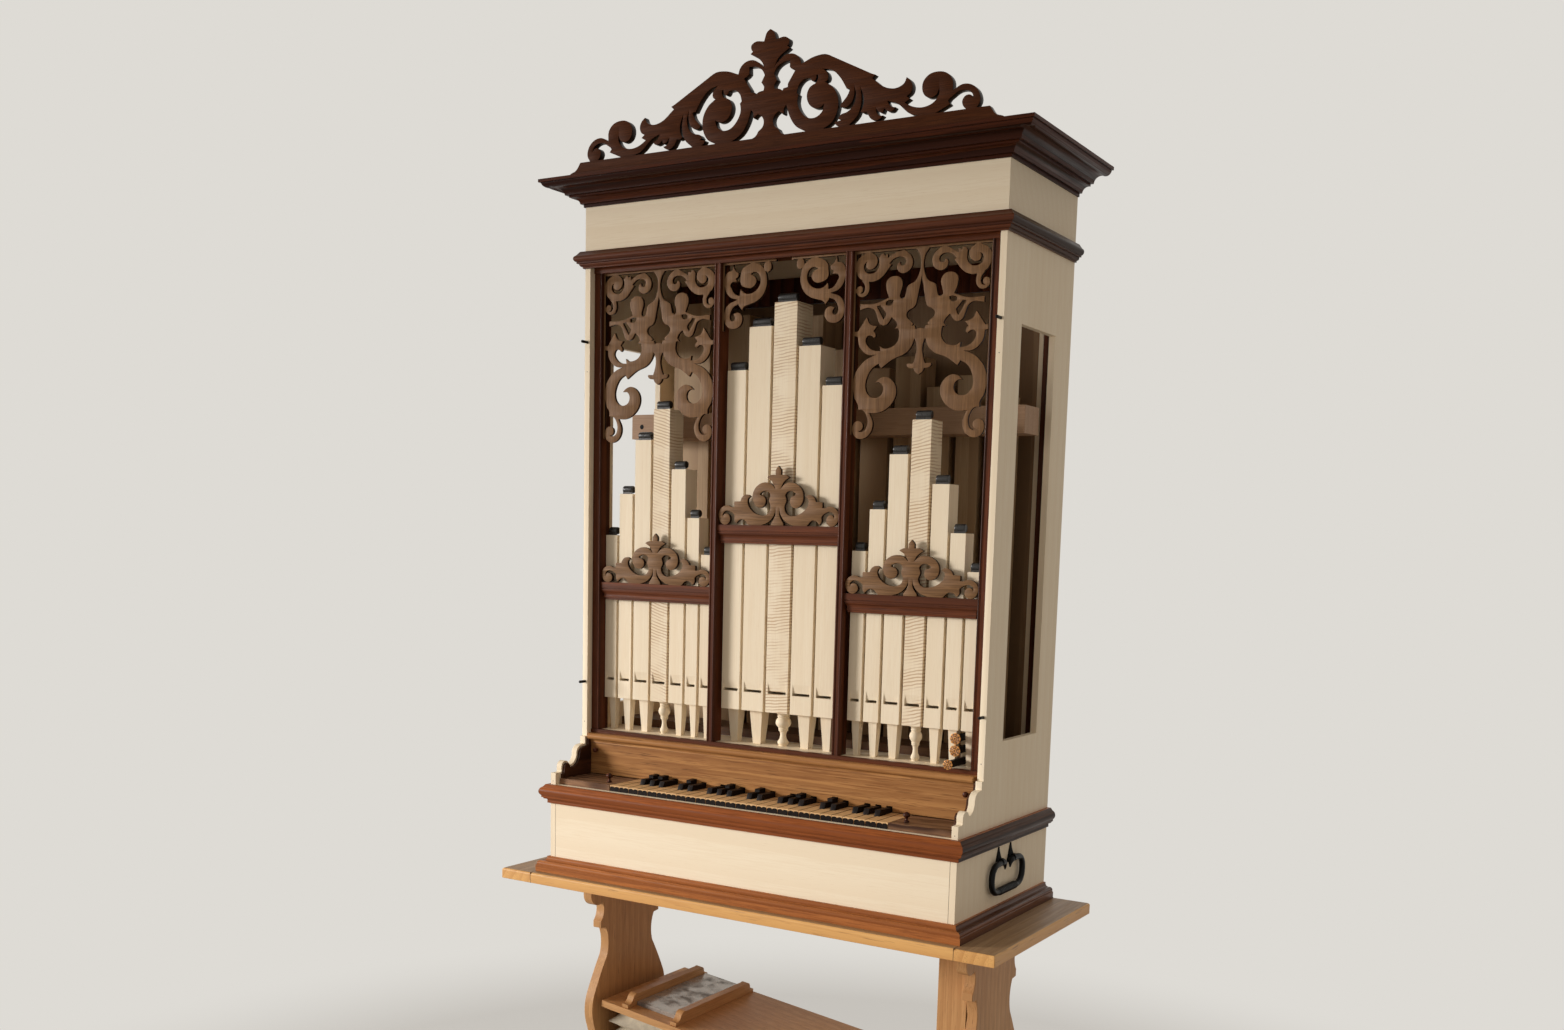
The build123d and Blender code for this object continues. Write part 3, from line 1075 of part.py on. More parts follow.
def door_catches():
    pins = []
    for z in CATCH_Z:
        for side in (-1, 1):
            x = side * (half - BOARD / 2)
            head = Plane(origin=(x, at(UPPER_SETBACK) - CATCH_LENGTH, up(z)), z_dir=(0, 1, 0))
            pins.append(extrude(head * RegularPolygon(CATCH_RADIUS, 8), amount=CATCH_LENGTH))
    return Compound(children=pins)


def build():
    right_side = side_board()
    plates = handle_plate()
    bail = handle_bail()
    nodes = {
        "table_top": table_top(),
        "leg_left": leg(-LEG_CENTRE_X), "leg_right": leg(LEG_CENTRE_X),
        "foot_left": foot(-LEG_CENTRE_X), "foot_right": foot(LEG_CENTRE_X),
        "wind_trunk": wind_trunk(),
        "bellows_bottom_board": bellows_bottom_board(), "bellows_ribs": bellows_ribs(),
        "bellows_top_board": bellows_top_board(),
        "bellows_cleats": Compound(children=[cleat(x) for x in CLEAT_FROM_LEFT]),
        "lead_weight": lead_weight(),
        "plinth_moulding": plinth_moulding(), "front_panel": front_panel(),
        "side_right": right_side, "side_left": mirror_x(right_side),
        "lower_back": lower_back(), "case_floor": case_floor(),
        "waist_moulding": waist_moulding(), "key_bed": key_bed(),
        "natural_keys": natural_keys(), "sharp_keys": sharp_keys(),
        "key_blocks": pair(key_block()), "lift_knobs": pair(lift_knob()),
        "cheek_linings": pair(cheek_lining()),
        "name_board": name_board(), "name_moulding": name_moulding(),
        "frame_stiles": pair(frame_stile()), "frame_posts": pair(frame_post()),
        "frame_bottom_rail": frame_bottom_rail(), "frame_top_rail": frame_top_rail(),
        "toe_board": toe_board(), "wind_chest": wind_chest(),
        "rack_rail": rack_rail(), "rear_pipes": rear_pipes(), "rear_frame": rear_frame(),
        "tuning_rolls": tuning_rolls(), "stop_jamb": stop_jamb(),
        "stop_upper": stop_knob(0), "stop_middle": stop_knob(1), "stop_lower": stop_knob(2),
        "upper_moulding": upper_moulding(), "frieze": frieze(),
        "cornice_moulding": cornice_moulding(), "roof_board": roof_board(), "crest": crest(),
        "handle_plates": Compound(children=plates + [mirror_x(plate) for plate in plates]),
        "handle_right": bail, "handle_left": mirror_x(bail),
        "door_catches": door_catches(),
        "stretchers": stretchers(), "pipe_feet": pipe_feet(),
        "transoms": Compound(children=[transom(bay) for bay in BAYS]),
        "transom_crests": Compound(children=[transom_crest(bay) for bay in BAYS]),
        "pipe_shades": Compound(children=[solid for bay in BAYS for solid in pipe_shade(bay)]),
        "name_board_knobs": pair(name_board_knob()),
    }
    for bay in BAYS:
        nodes["pipes_" + bay] = front_pipes(bay)
    return nodes


os.makedirs("parts", exist_ok=True)
parts = build()
for name, shape in parts.items():
    export_step(shape, f"parts/{name}.step")
print(len(parts), "parts written")
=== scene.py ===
import json
import math

import bmesh
import bpy
import numpy as np
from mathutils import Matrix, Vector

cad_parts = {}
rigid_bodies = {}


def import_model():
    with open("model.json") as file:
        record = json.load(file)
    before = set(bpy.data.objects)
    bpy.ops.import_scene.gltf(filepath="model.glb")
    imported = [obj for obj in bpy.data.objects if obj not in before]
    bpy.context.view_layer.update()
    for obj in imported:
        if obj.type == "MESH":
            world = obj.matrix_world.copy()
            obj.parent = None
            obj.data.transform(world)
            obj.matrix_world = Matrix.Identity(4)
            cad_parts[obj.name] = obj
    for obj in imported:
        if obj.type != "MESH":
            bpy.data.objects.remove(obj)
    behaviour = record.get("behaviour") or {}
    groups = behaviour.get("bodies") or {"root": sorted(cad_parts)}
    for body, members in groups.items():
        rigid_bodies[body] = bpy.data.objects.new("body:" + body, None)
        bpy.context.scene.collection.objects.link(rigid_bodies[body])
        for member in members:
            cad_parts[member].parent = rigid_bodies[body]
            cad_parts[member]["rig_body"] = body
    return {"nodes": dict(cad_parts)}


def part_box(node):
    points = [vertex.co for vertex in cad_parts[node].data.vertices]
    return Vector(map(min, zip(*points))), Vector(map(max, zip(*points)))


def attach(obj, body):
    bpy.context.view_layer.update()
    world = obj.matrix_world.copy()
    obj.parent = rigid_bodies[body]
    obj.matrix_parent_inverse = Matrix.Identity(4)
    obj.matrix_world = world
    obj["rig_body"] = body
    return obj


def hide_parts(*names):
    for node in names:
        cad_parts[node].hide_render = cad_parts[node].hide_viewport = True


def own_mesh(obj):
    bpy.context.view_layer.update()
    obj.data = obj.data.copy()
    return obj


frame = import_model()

# Table organ on its oak stand. Metres, +Z up, front towards -Y, +X to the right.
print("stage: frame loaded")

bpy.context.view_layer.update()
mm = 0.001
rng = np.random.default_rng(7)


def bodyOf(nodeName):
    return frame["nodes"][nodeName]["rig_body"]


# Node helpers for the finishes

class Finish:
    def __init__(self, name):
        self.material = bpy.data.materials.new(name)
        self.material.use_nodes = True
        self.tree = self.material.node_tree
        self.shader = self.tree.nodes["Principled BSDF"]

    def add(self, kind, inputs=None, **settings):
        made = self.tree.nodes.new("ShaderNode" + kind)
        for key, value in settings.items():
            setattr(made, key, value)
        for key, value in (inputs or {}).items():
            if isinstance(value, bpy.types.NodeSocket):
                self.tree.links.new(value, made.inputs[key])
            else:
                made.inputs[key].default_value = value
        return made

    def maths(self, operation, a, b=0.0, clamp=False):
        return self.add("Math", {0: a, 1: b}, operation=operation, use_clamp=clamp).outputs[0]

    def mix(self, share, a, b, blend="MIX"):
        made = self.add("Mix", data_type="RGBA", blend_type=blend)
        for socket, value in zip((made.inputs[0], made.inputs[6], made.inputs[7]), (share, a, b)):
            if isinstance(value, bpy.types.NodeSocket):
                self.tree.links.new(value, socket)
            else:
                socket.default_value = value
        return made.outputs[2]

    def ramp(self, value, low, high):
        made = self.add("MapRange", {0: value, 1: low, 2: high})
        made.interpolation_type = "SMOOTHSTEP"
        return made.outputs[0]

    def shifted(self):
        # Object coordinates, moved by the solid's own shift so that no two solids share their figure
        where = self.add("TexCoord").outputs["Object"]
        shift = self.add("Attribute", attribute_name="shift").outputs["Vector"]
        return self.add("VectorMath", {0: where, 1: shift}, operation="ADD").outputs[0]

    def place(self, stretch, tilt=(0.0, 0.0, 0.0)):
        return self.add("Mapping", {"Vector": self.shifted(), "Rotation": tilt, "Scale": stretch}).outputs[0]

    def noise(self, where, scale, detail=3.0, rough=0.5, twist=0.0):
        inputs = {"Vector": where, "Scale": scale, "Detail": detail, "Roughness": rough, "Distortion": twist}
        return self.add("TexNoise", inputs).outputs["Fac"]

    def join(self, colour, roughness=None, height=None, bump=0.2, depth=0.0004):
        self.tree.links.new(colour, self.shader.inputs["Base Color"])
        if roughness is not None:
            self.tree.links.new(roughness, self.shader.inputs["Roughness"])
        if height is not None:
            raised = self.add("Bump", {"Height": height, "Strength": bump, "Distance": depth})
            self.tree.links.new(raised.outputs[0], self.shader.inputs["Normal"])
        return self.material


def paint(red, green, blue):
    # A colour written in screen values from 0 to 255
    screen = [value / 255 for value in (red, green, blue)]
    return tuple(((c + 0.055) / 1.055) ** 2.4 if c > 0.04045 else c / 12.92 for c in screen) + (1.0,)


grainAxes = {"x": 0, "y": 1, "z": 2}


def wood(name, look):
    # Growth rings about a pith line along the grain, fine fibres, short pores, and flame figure if it has any
    axis = grainAxes[look["grain"]]
    finish = Finish(name)
    stretch = [1.0, 1.0, 1.0]
    stretch[axis] = look.get("stretch", 0.035)
    tilt = [0.0, 0.0, 0.0]
    tilt[(axis + 1) % 3] = math.radians(look.get("tilt", 0.6))
    along = finish.place(stretch)
    pith = finish.place([1.0 if i != axis else look.get("swirl", 0.06) for i in range(3)], tilt)
    drift = finish.noise(pith, 7.0, 2.0)
    wave = {"Vector": pith, "Scale": look["rings"], "Distortion": look.get("twist", 3.0), "Detail": 2.0,
            "Detail Scale": 0.8, "Detail Roughness": 0.5}
    rings = finish.add("TexWave", wave, wave_type="RINGS", rings_direction="XYZ"[axis],
                       wave_profile="SAW").outputs["Fac"]
    fibre = finish.noise(along, look.get("fibre", 420.0), 4.0, 0.6)
    pores = finish.ramp(finish.noise(along, look.get("pore", 700.0), 2.0, 0.7), 0.60, 0.72)
    bandShare = finish.maths("MULTIPLY", finish.ramp(rings, 0.15, 1.0), look.get("ringShare", 0.6))
    fibreShare = finish.maths("MULTIPLY", finish.ramp(fibre, 0.35, 0.68), look.get("fibreShare", 0.5))
    driftShare = finish.maths("MULTIPLY", finish.ramp(drift, 0.4, 0.7), look.get("driftShare", 0.25))
    dark = finish.maths("ADD", finish.maths("MAXIMUM", bandShare, fibreShare), driftShare, True)
    colour = finish.mix(dark, paint(*look["pale"]), paint(*look["dark"]))
    poreShare = finish.maths("MULTIPLY", pores, look.get("poreShare", 0.3))
    colour = finish.mix(poreShare, colour, paint(*look["pores"]))
    ridges, pits = finish.maths("MULTIPLY", fibre, 0.5), finish.maths("MULTIPLY", pores, 0.6)
    height = finish.maths("SUBTRACT", ridges, pits)
    if "flame" in look:
        # Dark lines across the grain, about 6 mm apart, that come and go in patches
        tilted = {"Vector": finish.shifted(), "Angle": math.radians(look["flame"])}
        turned = finish.add("VectorRotate", tilted, rotation_type="Y_AXIS").outputs[0]
        wave = {"Vector": turned, "Scale": 52.0, "Distortion": 3.4, "Detail": 2.0, "Detail Scale": 0.5,
                "Detail Roughness": 0.6}
        curl = finish.add("TexWave", wave, bands_direction="Z", wave_profile="SIN").outputs["Fac"]
        patches = finish.ramp(finish.noise(finish.place((14.0, 14.0, 26.0)), 1.0, 2.0), 0.3, 0.62)
        patches = finish.maths("MULTIPLY", patches, look["flameShare"])
        curl = finish.maths("MULTIPLY", finish.ramp(curl, 0.45, 0.95), patches)
        colour = finish.mix(curl, colour, paint(*look["flameTone"]))
    tone = finish.add("Attribute", attribute_name="tone").outputs["Fac"]
    grey = finish.add("CombineColor", {0: tone, 1: tone, 2: tone}).outputs[0]
    colour = finish.mix(1.0, colour, grey, "MULTIPLY")
    low, high = look.get("roughness", (0.38, 0.55))
    roughness = finish.add("MapRange", {0: fibre, 1: 0.3, 2: 0.7, 3: low, 4: high}).outputs[0]
    finish.shader.inputs["Specular IOR Level"].default_value = look.get("gloss", 0.3)
    finish.shader.inputs["Coat Weight"].default_value = look.get("coat", 0.0)
    finish.shader.inputs["Coat Roughness"].default_value = 0.2
    return finish.join(colour, roughness, height, look.get("bump", 0.25))


walnutLook = dict(pale=(128, 74, 40), dark=(58, 29, 15), pores=(30, 14, 8), rings=16.0, ringShare=0.8,
                  twist=4.0, fibreShare=0.55, poreShare=0.4, coat=0.03, gloss=0.12, roughness=(0.28, 0.4))
# The cornice is made darker than the other walnut: painted shade of the dim light at the top of the case
corniceLook = dict(walnutLook, pale=(80, 38, 18), dark=(36, 15, 8), coat=0.0, gloss=0.07)
fretLook = dict(pale=(138, 102, 66), dark=(90, 62, 38), pores=(56, 36, 22), rings=20.0, ringShare=0.5,
                fibre=600.0, fibreShare=0.7, poreShare=0.45, gloss=0.2, roughness=(0.5, 0.65))
mapleLook = dict(pale=(245, 230, 203), dark=(234, 214, 182), pores=(216, 190, 152), rings=14.0, ringShare=0.4,
                 fibreShare=0.4, driftShare=0.3, bump=0.1, gloss=0.25, roughness=(0.45, 0.6))
flameLook = dict(mapleLook, grain="z", flameTone=(188, 150, 110), flameShare=0.75)
oakLook = dict(pale=(230, 178, 108), dark=(196, 138, 76), pores=(132, 84, 44), rings=16.0, ringShare=0.6,
               twist=4.0, fibre=380.0, pore=480.0, poreShare=0.6, bump=0.35, coat=0.1, roughness=(0.35, 0.5))
# Oak for the table top's upper face, darker and duller: painted shade
shadedTopOakLook = dict(oakLook, pale=(176, 142, 102), dark=(140, 108, 72), pores=(96, 70, 46), coat=0.0)
oldOakLook = dict(oakLook, pale=(206, 158, 106), dark=(164, 116, 72), pores=(110, 72, 42), ringShare=0.45,
                  coat=0.0, gloss=0.2)

looks = {
    "mouldingX": dict(walnutLook, grain="x", pale=(114, 62, 36), dark=(54, 25, 13), ringShare=0.6),
    # Side runs of the waist and upper mouldings: darker walnut, painted shade
    "mouldingSideShadeY": dict(walnutLook, grain="y", pale=(84, 54, 36), dark=(40, 24, 16), coat=0.0, gloss=0.06),
    "mouldingZ": dict(walnutLook, grain="z", pale=(104, 55, 32), dark=(46, 21, 11)),
    # Front run of the waist: walnut painted lighter than the upper moulding, painted light as where the lamp
    # falls on it
    "waistX": dict(walnutLook, grain="x", pale=(168, 94, 46), dark=(98, 48, 22), ringShare=0.55),
    "plinthX": dict(walnutLook, grain="x", pale=(192, 120, 66), dark=(124, 68, 34), ringShare=0.55,
                    twist=6.0),
    # Side runs of the plinth: darker walnut, painted shade
    "plinthSideShadeY": dict(walnutLook, grain="y", pale=(132, 82, 48), dark=(76, 42, 24)),
    "corniceX": dict(corniceLook, grain="x"),
    "corniceY": dict(corniceLook, grain="y"),
    # Walnut of the cheek linings made dark: painted shade of the side boards' shadow over the keyboard recess
    "shadedWalnut": dict(walnutLook, grain="y", pale=(88, 54, 34), dark=(46, 26, 16)),
    # Painted shade: the fretwork's sawn edges are made darker than its face
    "fretEdgeShade": dict(walnutLook, grain="y", pale=(44, 26, 16), dark=(26, 14, 9), gloss=0.1),
    "fretX": dict(fretLook, grain="x"),
    "fretZ": dict(fretLook, grain="z"),
    # The crest is darker than the other fretwork: partly its own darker walnut, partly painted shade of the dim
    # light at the top
    "crestX": dict(fretLook, grain="x", pale=(88, 47, 22), dark=(54, 26, 11), gloss=0.08),
    "nameWalnut": dict(walnutLook, grain="x", pale=(192, 140, 86), dark=(132, 84, 46), pores=(72, 42, 24),
                       rings=12.0, twist=7.0, swirl=0.12, ringShare=0.5, fibreShare=0.7, poreShare=0.7,
                       fibre=260.0, pore=380.0),
    "blockWalnut": dict(walnutLook, grain="x", pale=(160, 122, 92), dark=(70, 46, 34), pores=(44, 28, 20),
                        twist=10.0, swirl=0.5, ringShare=0.9),
    "mapleX": dict(mapleLook, grain="x"),
    "mapleZ": dict(mapleLook, grain="z"),
    "flameLevel": dict(flameLook, flame=6.0),
    "flameFalling": dict(flameLook, flame=-16.0),
    "flameRising": dict(flameLook, flame=12.0),
    "oakX": dict(oakLook, grain="x"),
    "oakY": dict(oakLook, grain="y"),
    "shadedTopOakX": dict(shadedTopOakLook, grain="x"),
    "shadedTopOakY": dict(shadedTopOakLook, grain="y", pale=(170, 136, 98), dark=(132, 100, 68), pores=(92, 66, 44)),
    "oldOakX": dict(oldOakLook, grain="x"),
    "oldOakY": dict(oldOakLook, grain="y"),
    "oldOakZ": dict(oldOakLook, grain="z"),
    "boxwood": dict(mapleLook, grain="y", pale=(224, 184, 132), dark=(202, 158, 106), pores=(156, 112, 70)),
    "blackwood": dict(walnutLook, grain="y", pale=(34, 25, 21), dark=(16, 12, 10), pores=(8, 6, 6), coat=0.0,
                      gloss=0.08, roughness=(0.4, 0.55)),
    "pineZ": dict(mapleLook, grain="z", pale=(206, 172, 128), dark=(176, 134, 88), ringShare=0.7, rings=12.0),
    "rearPine": dict(mapleLook, grain="z", pale=(186, 158, 122), dark=(150, 118, 84), pores=(120, 90, 60),
                     rings=10.0, ringShare=0.6),
    # Pine of the rear door: its own pine colour, darkened with painted shade of the inside of the case
    "shadedDoorPine": dict(mapleLook, grain="z", pale=(150, 120, 88), dark=(116, 86, 58), pores=(84, 58, 36),
                     rings=8.0, ringShare=0.5, twist=6.0),
    "rackWood": dict(mapleLook, grain="x", pale=(172, 138, 108), dark=(140, 106, 78), pores=(100, 72, 50)),
    "chestWood": dict(mapleLook, grain="x", pale=(110, 78, 52), dark=(76, 50, 32), pores=(50, 32, 20)),
}
finishes = {name: wood(name, look) for name, look in looks.items()}


def plainFinish(name, colour, roughness, scale=300.0, bump=0.3, spread=0.25, gloss=0.4):
    # One colour with soft darker patches and a fine uneven surface
    finish = Finish(name)
    where = finish.add("TexCoord").outputs["Object"]
    cloud = finish.noise(where, scale, 4.0, 0.6)
    patches = finish.noise(where, scale / 14, 3.0, 0.6)
    darker = [c * (1 - spread) for c in colour]
    shade = finish.mix(finish.ramp(patches, 0.3, 0.7), paint(*colour), paint(*darker))
    rough = finish.add("MapRange", {0: cloud, 1: 0.3, 2: 0.7, 3: roughness[0], 4: roughness[1]}).outputs[0]
    finish.shader.inputs["Specular IOR Level"].default_value = gloss
    return finish.join(shade, rough, cloud, bump)


def leadFinish():
    # Dull sheet lead with darker stains and fine scratches that run askew
    finish = Finish("lead")
    where = finish.add("TexCoord").outputs["Object"]
    stains = finish.ramp(finish.noise(where, 26.0, 5.0, 0.65), 0.42, 0.68)
    askew = {"Vector": where, "Rotation": (0.0, 0.0, 0.7), "Scale": (900.0, 60.0, 60.0)}
    scratches = finish.ramp(finish.noise(finish.add("Mapping", askew).outputs[0], 1.0, 2.0), 0.62, 0.72)
    shade = finish.mix(stains, paint(184, 176, 166), paint(120, 114, 108))
    shade = finish.mix(finish.maths("MULTIPLY", scratches, 0.4), shade, paint(214, 208, 200))
    finish.shader.inputs["Metallic"].default_value = 0.35
    return finish.join(shade, finish.ramp(stains, -0.8, 2.2), stains, 0.2, 0.0005)


def carvedGilt():
    # Gilded carving whose grooves, marked by the attribute "groove", are dark
    finish = Finish("gilt")
    groove = finish.add("Attribute", attribute_name="groove").outputs["Fac"]
    where = finish.add("TexCoord").outputs["Object"]
    patches = finish.ramp(finish.noise(where, 420.0, 3.0), 0.3, 0.7)
    shade = finish.mix(patches, paint(226, 160, 78), paint(196, 128, 56))
    shade = finish.mix(finish.ramp(groove, 0.15, 0.6), shade, paint(64, 30, 14))
    finish.shader.inputs["Metallic"].default_value = 0.15
    finish.shader.inputs["Roughness"].default_value = 0.38
    return finish.join(shade)


finishes["iron"] = plainFinish("iron", (12, 11, 11), (0.3, 0.45), scale=500.0, gloss=0.14)
finishes["leadRoll"] = plainFinish("leadRoll", (38, 35, 33), (0.25, 0.35), bump=0.2, gloss=0.5)
# Painted shade for the gaps between the natural keys
finishes["keyGapShade"] = plainFinish("keyGapShade", (74, 46, 28), (0.7, 0.8), gloss=0.1)
finishes["oakJoint"] = plainFinish("oakJoint", (92, 60, 34), (0.7, 0.8))
finishes["seam"] = plainFinish("seam", (150, 122, 92), (0.7, 0.8))
finishes["leather"] = plainFinish("leather", (206, 194, 172), (0.6, 0.8), scale=700.0, bump=0.5, spread=0.12)
finishes["hole"] = plainFinish("hole", (14, 11, 10), (0.8, 0.9))
finishes["lead"] = leadFinish()
finishes["gilt"] = carvedGilt()
print("stage: finishes made")


# Meshes from the frame

def pointsOf(mesh):
    places = np.empty(len(mesh.vertices) * 3)
    mesh.vertices.foreach_get("co", places)
    return places.reshape(-1, 3)


def solidsOf(mesh):
    # Solid of each point, and each solid's low corner, high corner and number of points
    edges = np.empty(len(mesh.edges) * 2, np.int64)
    mesh.edges.foreach_get("vertices", edges)
    edges = edges.reshape(-1, 2)
    labels = np.arange(len(mesh.vertices))
    while True:
        # Every point takes the lowest number among its neighbours until nothing changes
        least = np.minimum(labels[edges[:, 0]], labels[edges[:, 1]])
        fresh = labels.copy()
        np.minimum.at(fresh, edges[:, 0], least)
        np.minimum.at(fresh, edges[:, 1], least)
        fresh = fresh[fresh]
        if np.array_equal(fresh, labels):
            break
        labels = fresh
    kinds, index, counts = np.unique(labels, return_inverse=True, return_counts=True)
    low = np.full((len(kinds), 3), np.inf)
    high = -low
    np.minimum.at(low, index, pointsOf(mesh))
    np.maximum.at(high, index, pointsOf(mesh))
    return index, low, high, counts


def merged(nodeName):
    # The node's mesh with its doubled points joined and its flat faces whole again
    work = bmesh.new()
    work.from_mesh(frame["nodes"][nodeName].data)
    bmesh.ops.remove_doubles(work, verts=work.verts, dist=0.00001)
    bmesh.ops.dissolve_limit(work, angle_limit=0.01, verts=work.verts, edges=work.edges)
    mesh = bpy.data.meshes.new(nodeName + "_dressed")
    work.to_mesh(mesh)
    work.free()
    return mesh


def solidBoxes(nodeName):
    # Low and high corners of the node's solids from left to right, and upwards where two stand in line
    _, low, high, _ = solidsOf(merged(nodeName))
    order = np.argsort(low[:, 0] + 0.001 * low[:, 2])
    return low[order], high[order]


def giveTone(mesh, spread=0.05):
    # Each solid gets its own brightness and its own place in the grain
    index, _, _, counts = solidsOf(mesh)
    tone = 1.0 + rng.uniform(-spread, spread, len(counts))
    shift = rng.uniform(-3.0, 3.0, (len(counts), 3))
    mesh.attributes.new("tone", "FLOAT", "POINT").data.foreach_set("value", tone[index].astype(np.float32))
    place = mesh.attributes.new("shift", "FLOAT_VECTOR", "POINT")
    place.data.foreach_set("vector", shift[index].astype(np.float32).ravel())


def fitOut(name, mesh, finish, nodeName, replaced=(), bevel=0.0, spread=0.05, angle=30.0):
    # An object of the mesh that rides with the node's body and stands in for the nodes named
    giveTone(mesh, spread)
    mesh.materials.append(finishes[finish])
    mesh.shade_smooth()
    mesh.set_sharp_from_angle(angle=math.radians(angle))
    piece = bpy.data.objects.new(name, mesh)
    bpy.context.scene.collection.objects.link(piece)
    if bevel:
        easing = piece.modifiers.new("easing", "BEVEL")
        easing.width = bevel * mm
        easing.segments = 2
        easing.limit_method = "ANGLE"
        easing.angle_limit = math.radians(angle)
        easing.harden_normals = True
    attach(piece, bodyOf(nodeName))
    if replaced:
        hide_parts(*replaced)
    return piece


def dress(nodeName, finish, bevel=0.6, spread=0.05):
    return fitOut(nodeName + "_dressed", merged(nodeName), finish, nodeName, (nodeName,), bevel, spread)


def refinish(piece, finish, chosen):
    # The solids for which the test holds get another finish
    index, low, high, _ = solidsOf(piece.data)
    picked = chosen(low, high)
    piece.data.materials.append(finishes[finish])
    slot = len(piece.data.materials) - 1
    for face in piece.data.polygons:
        if picked[index[face.vertices[0]]]:
            face.material_index = slot


class Shape:
    # Collects grids of points and joins each grid's neighbours into four-sided faces
    def __init__(self):
        self.points = []
        self.faces = []
        self.count = 0

    def grid(self, points, around=True):
        rows, columns = points.shape[:2]
        number = np.arange(rows * columns).reshape(rows, columns) + self.count
        if around:
            number = np.hstack([number, number[:, :1]])
        corners = (number[:-1, :-1], number[:-1, 1:], number[1:, 1:], number[1:, :-1])
        self.faces.append(np.stack(corners, -1).reshape(-1, 4))
        self.points.append(points.reshape(-1, 3))
        self.count += rows * columns

    def mesh(self, name):
        made = bpy.data.meshes.new(name)
        made.from_pydata(np.concatenate(self.points).tolist(), [], np.concatenate(self.faces).tolist())
        work = bmesh.new()
        work.from_mesh(made)
        bmesh.ops.remove_doubles(work, verts=work.verts, dist=0.000002)
        bmesh.ops.recalc_face_normals(work, faces=work.faces)
        work.to_mesh(made)
        work.free()
        return made


def smoothPath(points, steps=4, closed=True, sharp=50.0):
    # Cubic pieces through the points. A point's direction is that of the parabola through it and its
    # neighbours; a side much longer than the next keeps its own direction, and a turn sharper than the limit
    # stays a corner
    ahead = np.roll(points, -1, 0) - points
    if not closed:
        ahead[-1] = ahead[-2]
    length = np.linalg.norm(ahead, axis=1)
    way = ahead / length[:, None]
    wayIn, lengthIn = np.roll(way, 1, 0), np.roll(length, 1)
    if not closed:
        wayIn[0], lengthIn[0] = way[0], length[0]
    middle = wayIn * length[:, None] + way * lengthIn[:, None]
    middle = np.where((length > 3 * lengthIn)[:, None], way, middle)
    middle = np.where((lengthIn > 3 * length)[:, None], wayIn, middle)
    middle /= np.linalg.norm(middle, axis=1)[:, None]
    corner = ((way * wayIn).sum(1) < math.cos(math.radians(sharp)))[:, None]
    leave = np.where(corner, way, middle) * length[:, None]
    arrive = np.roll(np.where(corner, wayIn, middle), -1, 0) * length[:, None]
    t = (np.arange(steps) / steps)[None, :, None]
    curve = ((2 * t**3 - 3 * t**2 + 1) * points[:, None] + (t**3 - 2 * t**2 + t) * leave[:, None]
             + (3 * t**2 - 2 * t**3) * np.roll(points, -1, 0)[:, None] + (t**3 - t**2) * arrive[:, None])
    curve = curve.reshape(-1, points.shape[1])
    return curve if closed else np.vstack([curve[:-steps], points[-1:]])


def lathe(shape, base, profile, sides=32, axis="z", steps=4):
    # Rings of the profile's (radius, height) pairs about the axis, closed at both ends
    radius, rise = smoothPath(np.array(profile, float) * mm, steps, False).T
    radius = np.concatenate([[0.0], radius, [0.0]])[:, None]
    rise = np.concatenate([rise[:1], rise, rise[-1:]])[:, None]
    turn = np.linspace(0.0, 2 * np.pi, sides, endpoint=False)[None, :]
    across, over, along = radius * np.cos(turn), radius * np.sin(turn), np.repeat(rise, sides, 1)
    order = {"z": (across, over, along), "-y": (across, -along, over), "x": (along, across, over)}[axis]
    shape.grid(np.stack(order, -1) + np.array(base))


def tube(shape, path, radius, sides=12):
    # Rings about a path that lies in a plane of constant x, closed at both ends
    ahead = np.gradient(path, axis=0)
    ahead /= np.linalg.norm(ahead, axis=1)[:, None]
    outward = np.array([1.0, 0.0, 0.0])
    across = np.cross(ahead, outward)[:, None]
    turn = np.linspace(0.0, 2 * np.pi, sides, endpoint=False)[None, :, None]
    rings = path[:, None] + radius[:, None, None] * (np.cos(turn) * outward + np.sin(turn) * across)
    ends = np.repeat(path[[0, -1]][:, None], sides, 1)
    shape.grid(np.concatenate([ends[:1], rings, ends[1:]]))


def bar(shape, low, high):
    # A plain bar along y: its four-cornered section at both ends, closed to the middle of each end
    low, high = np.array(low, float), np.array(high, float)
    corners = np.array([(low[0], low[2]), (high[0], low[2]), (high[0], high[2]), (low[0], high[2])])
    middle = np.repeat(corners.mean(0)[None], 4, 0)
    rows = [(middle, low[1]), (corners, low[1]), (corners, high[1]), (middle, high[1])]
    shape.grid(np.array([[(x, y, z) for x, z in section] for section, y in rows]))


# Pieces that are the frame's own solids with eased edges

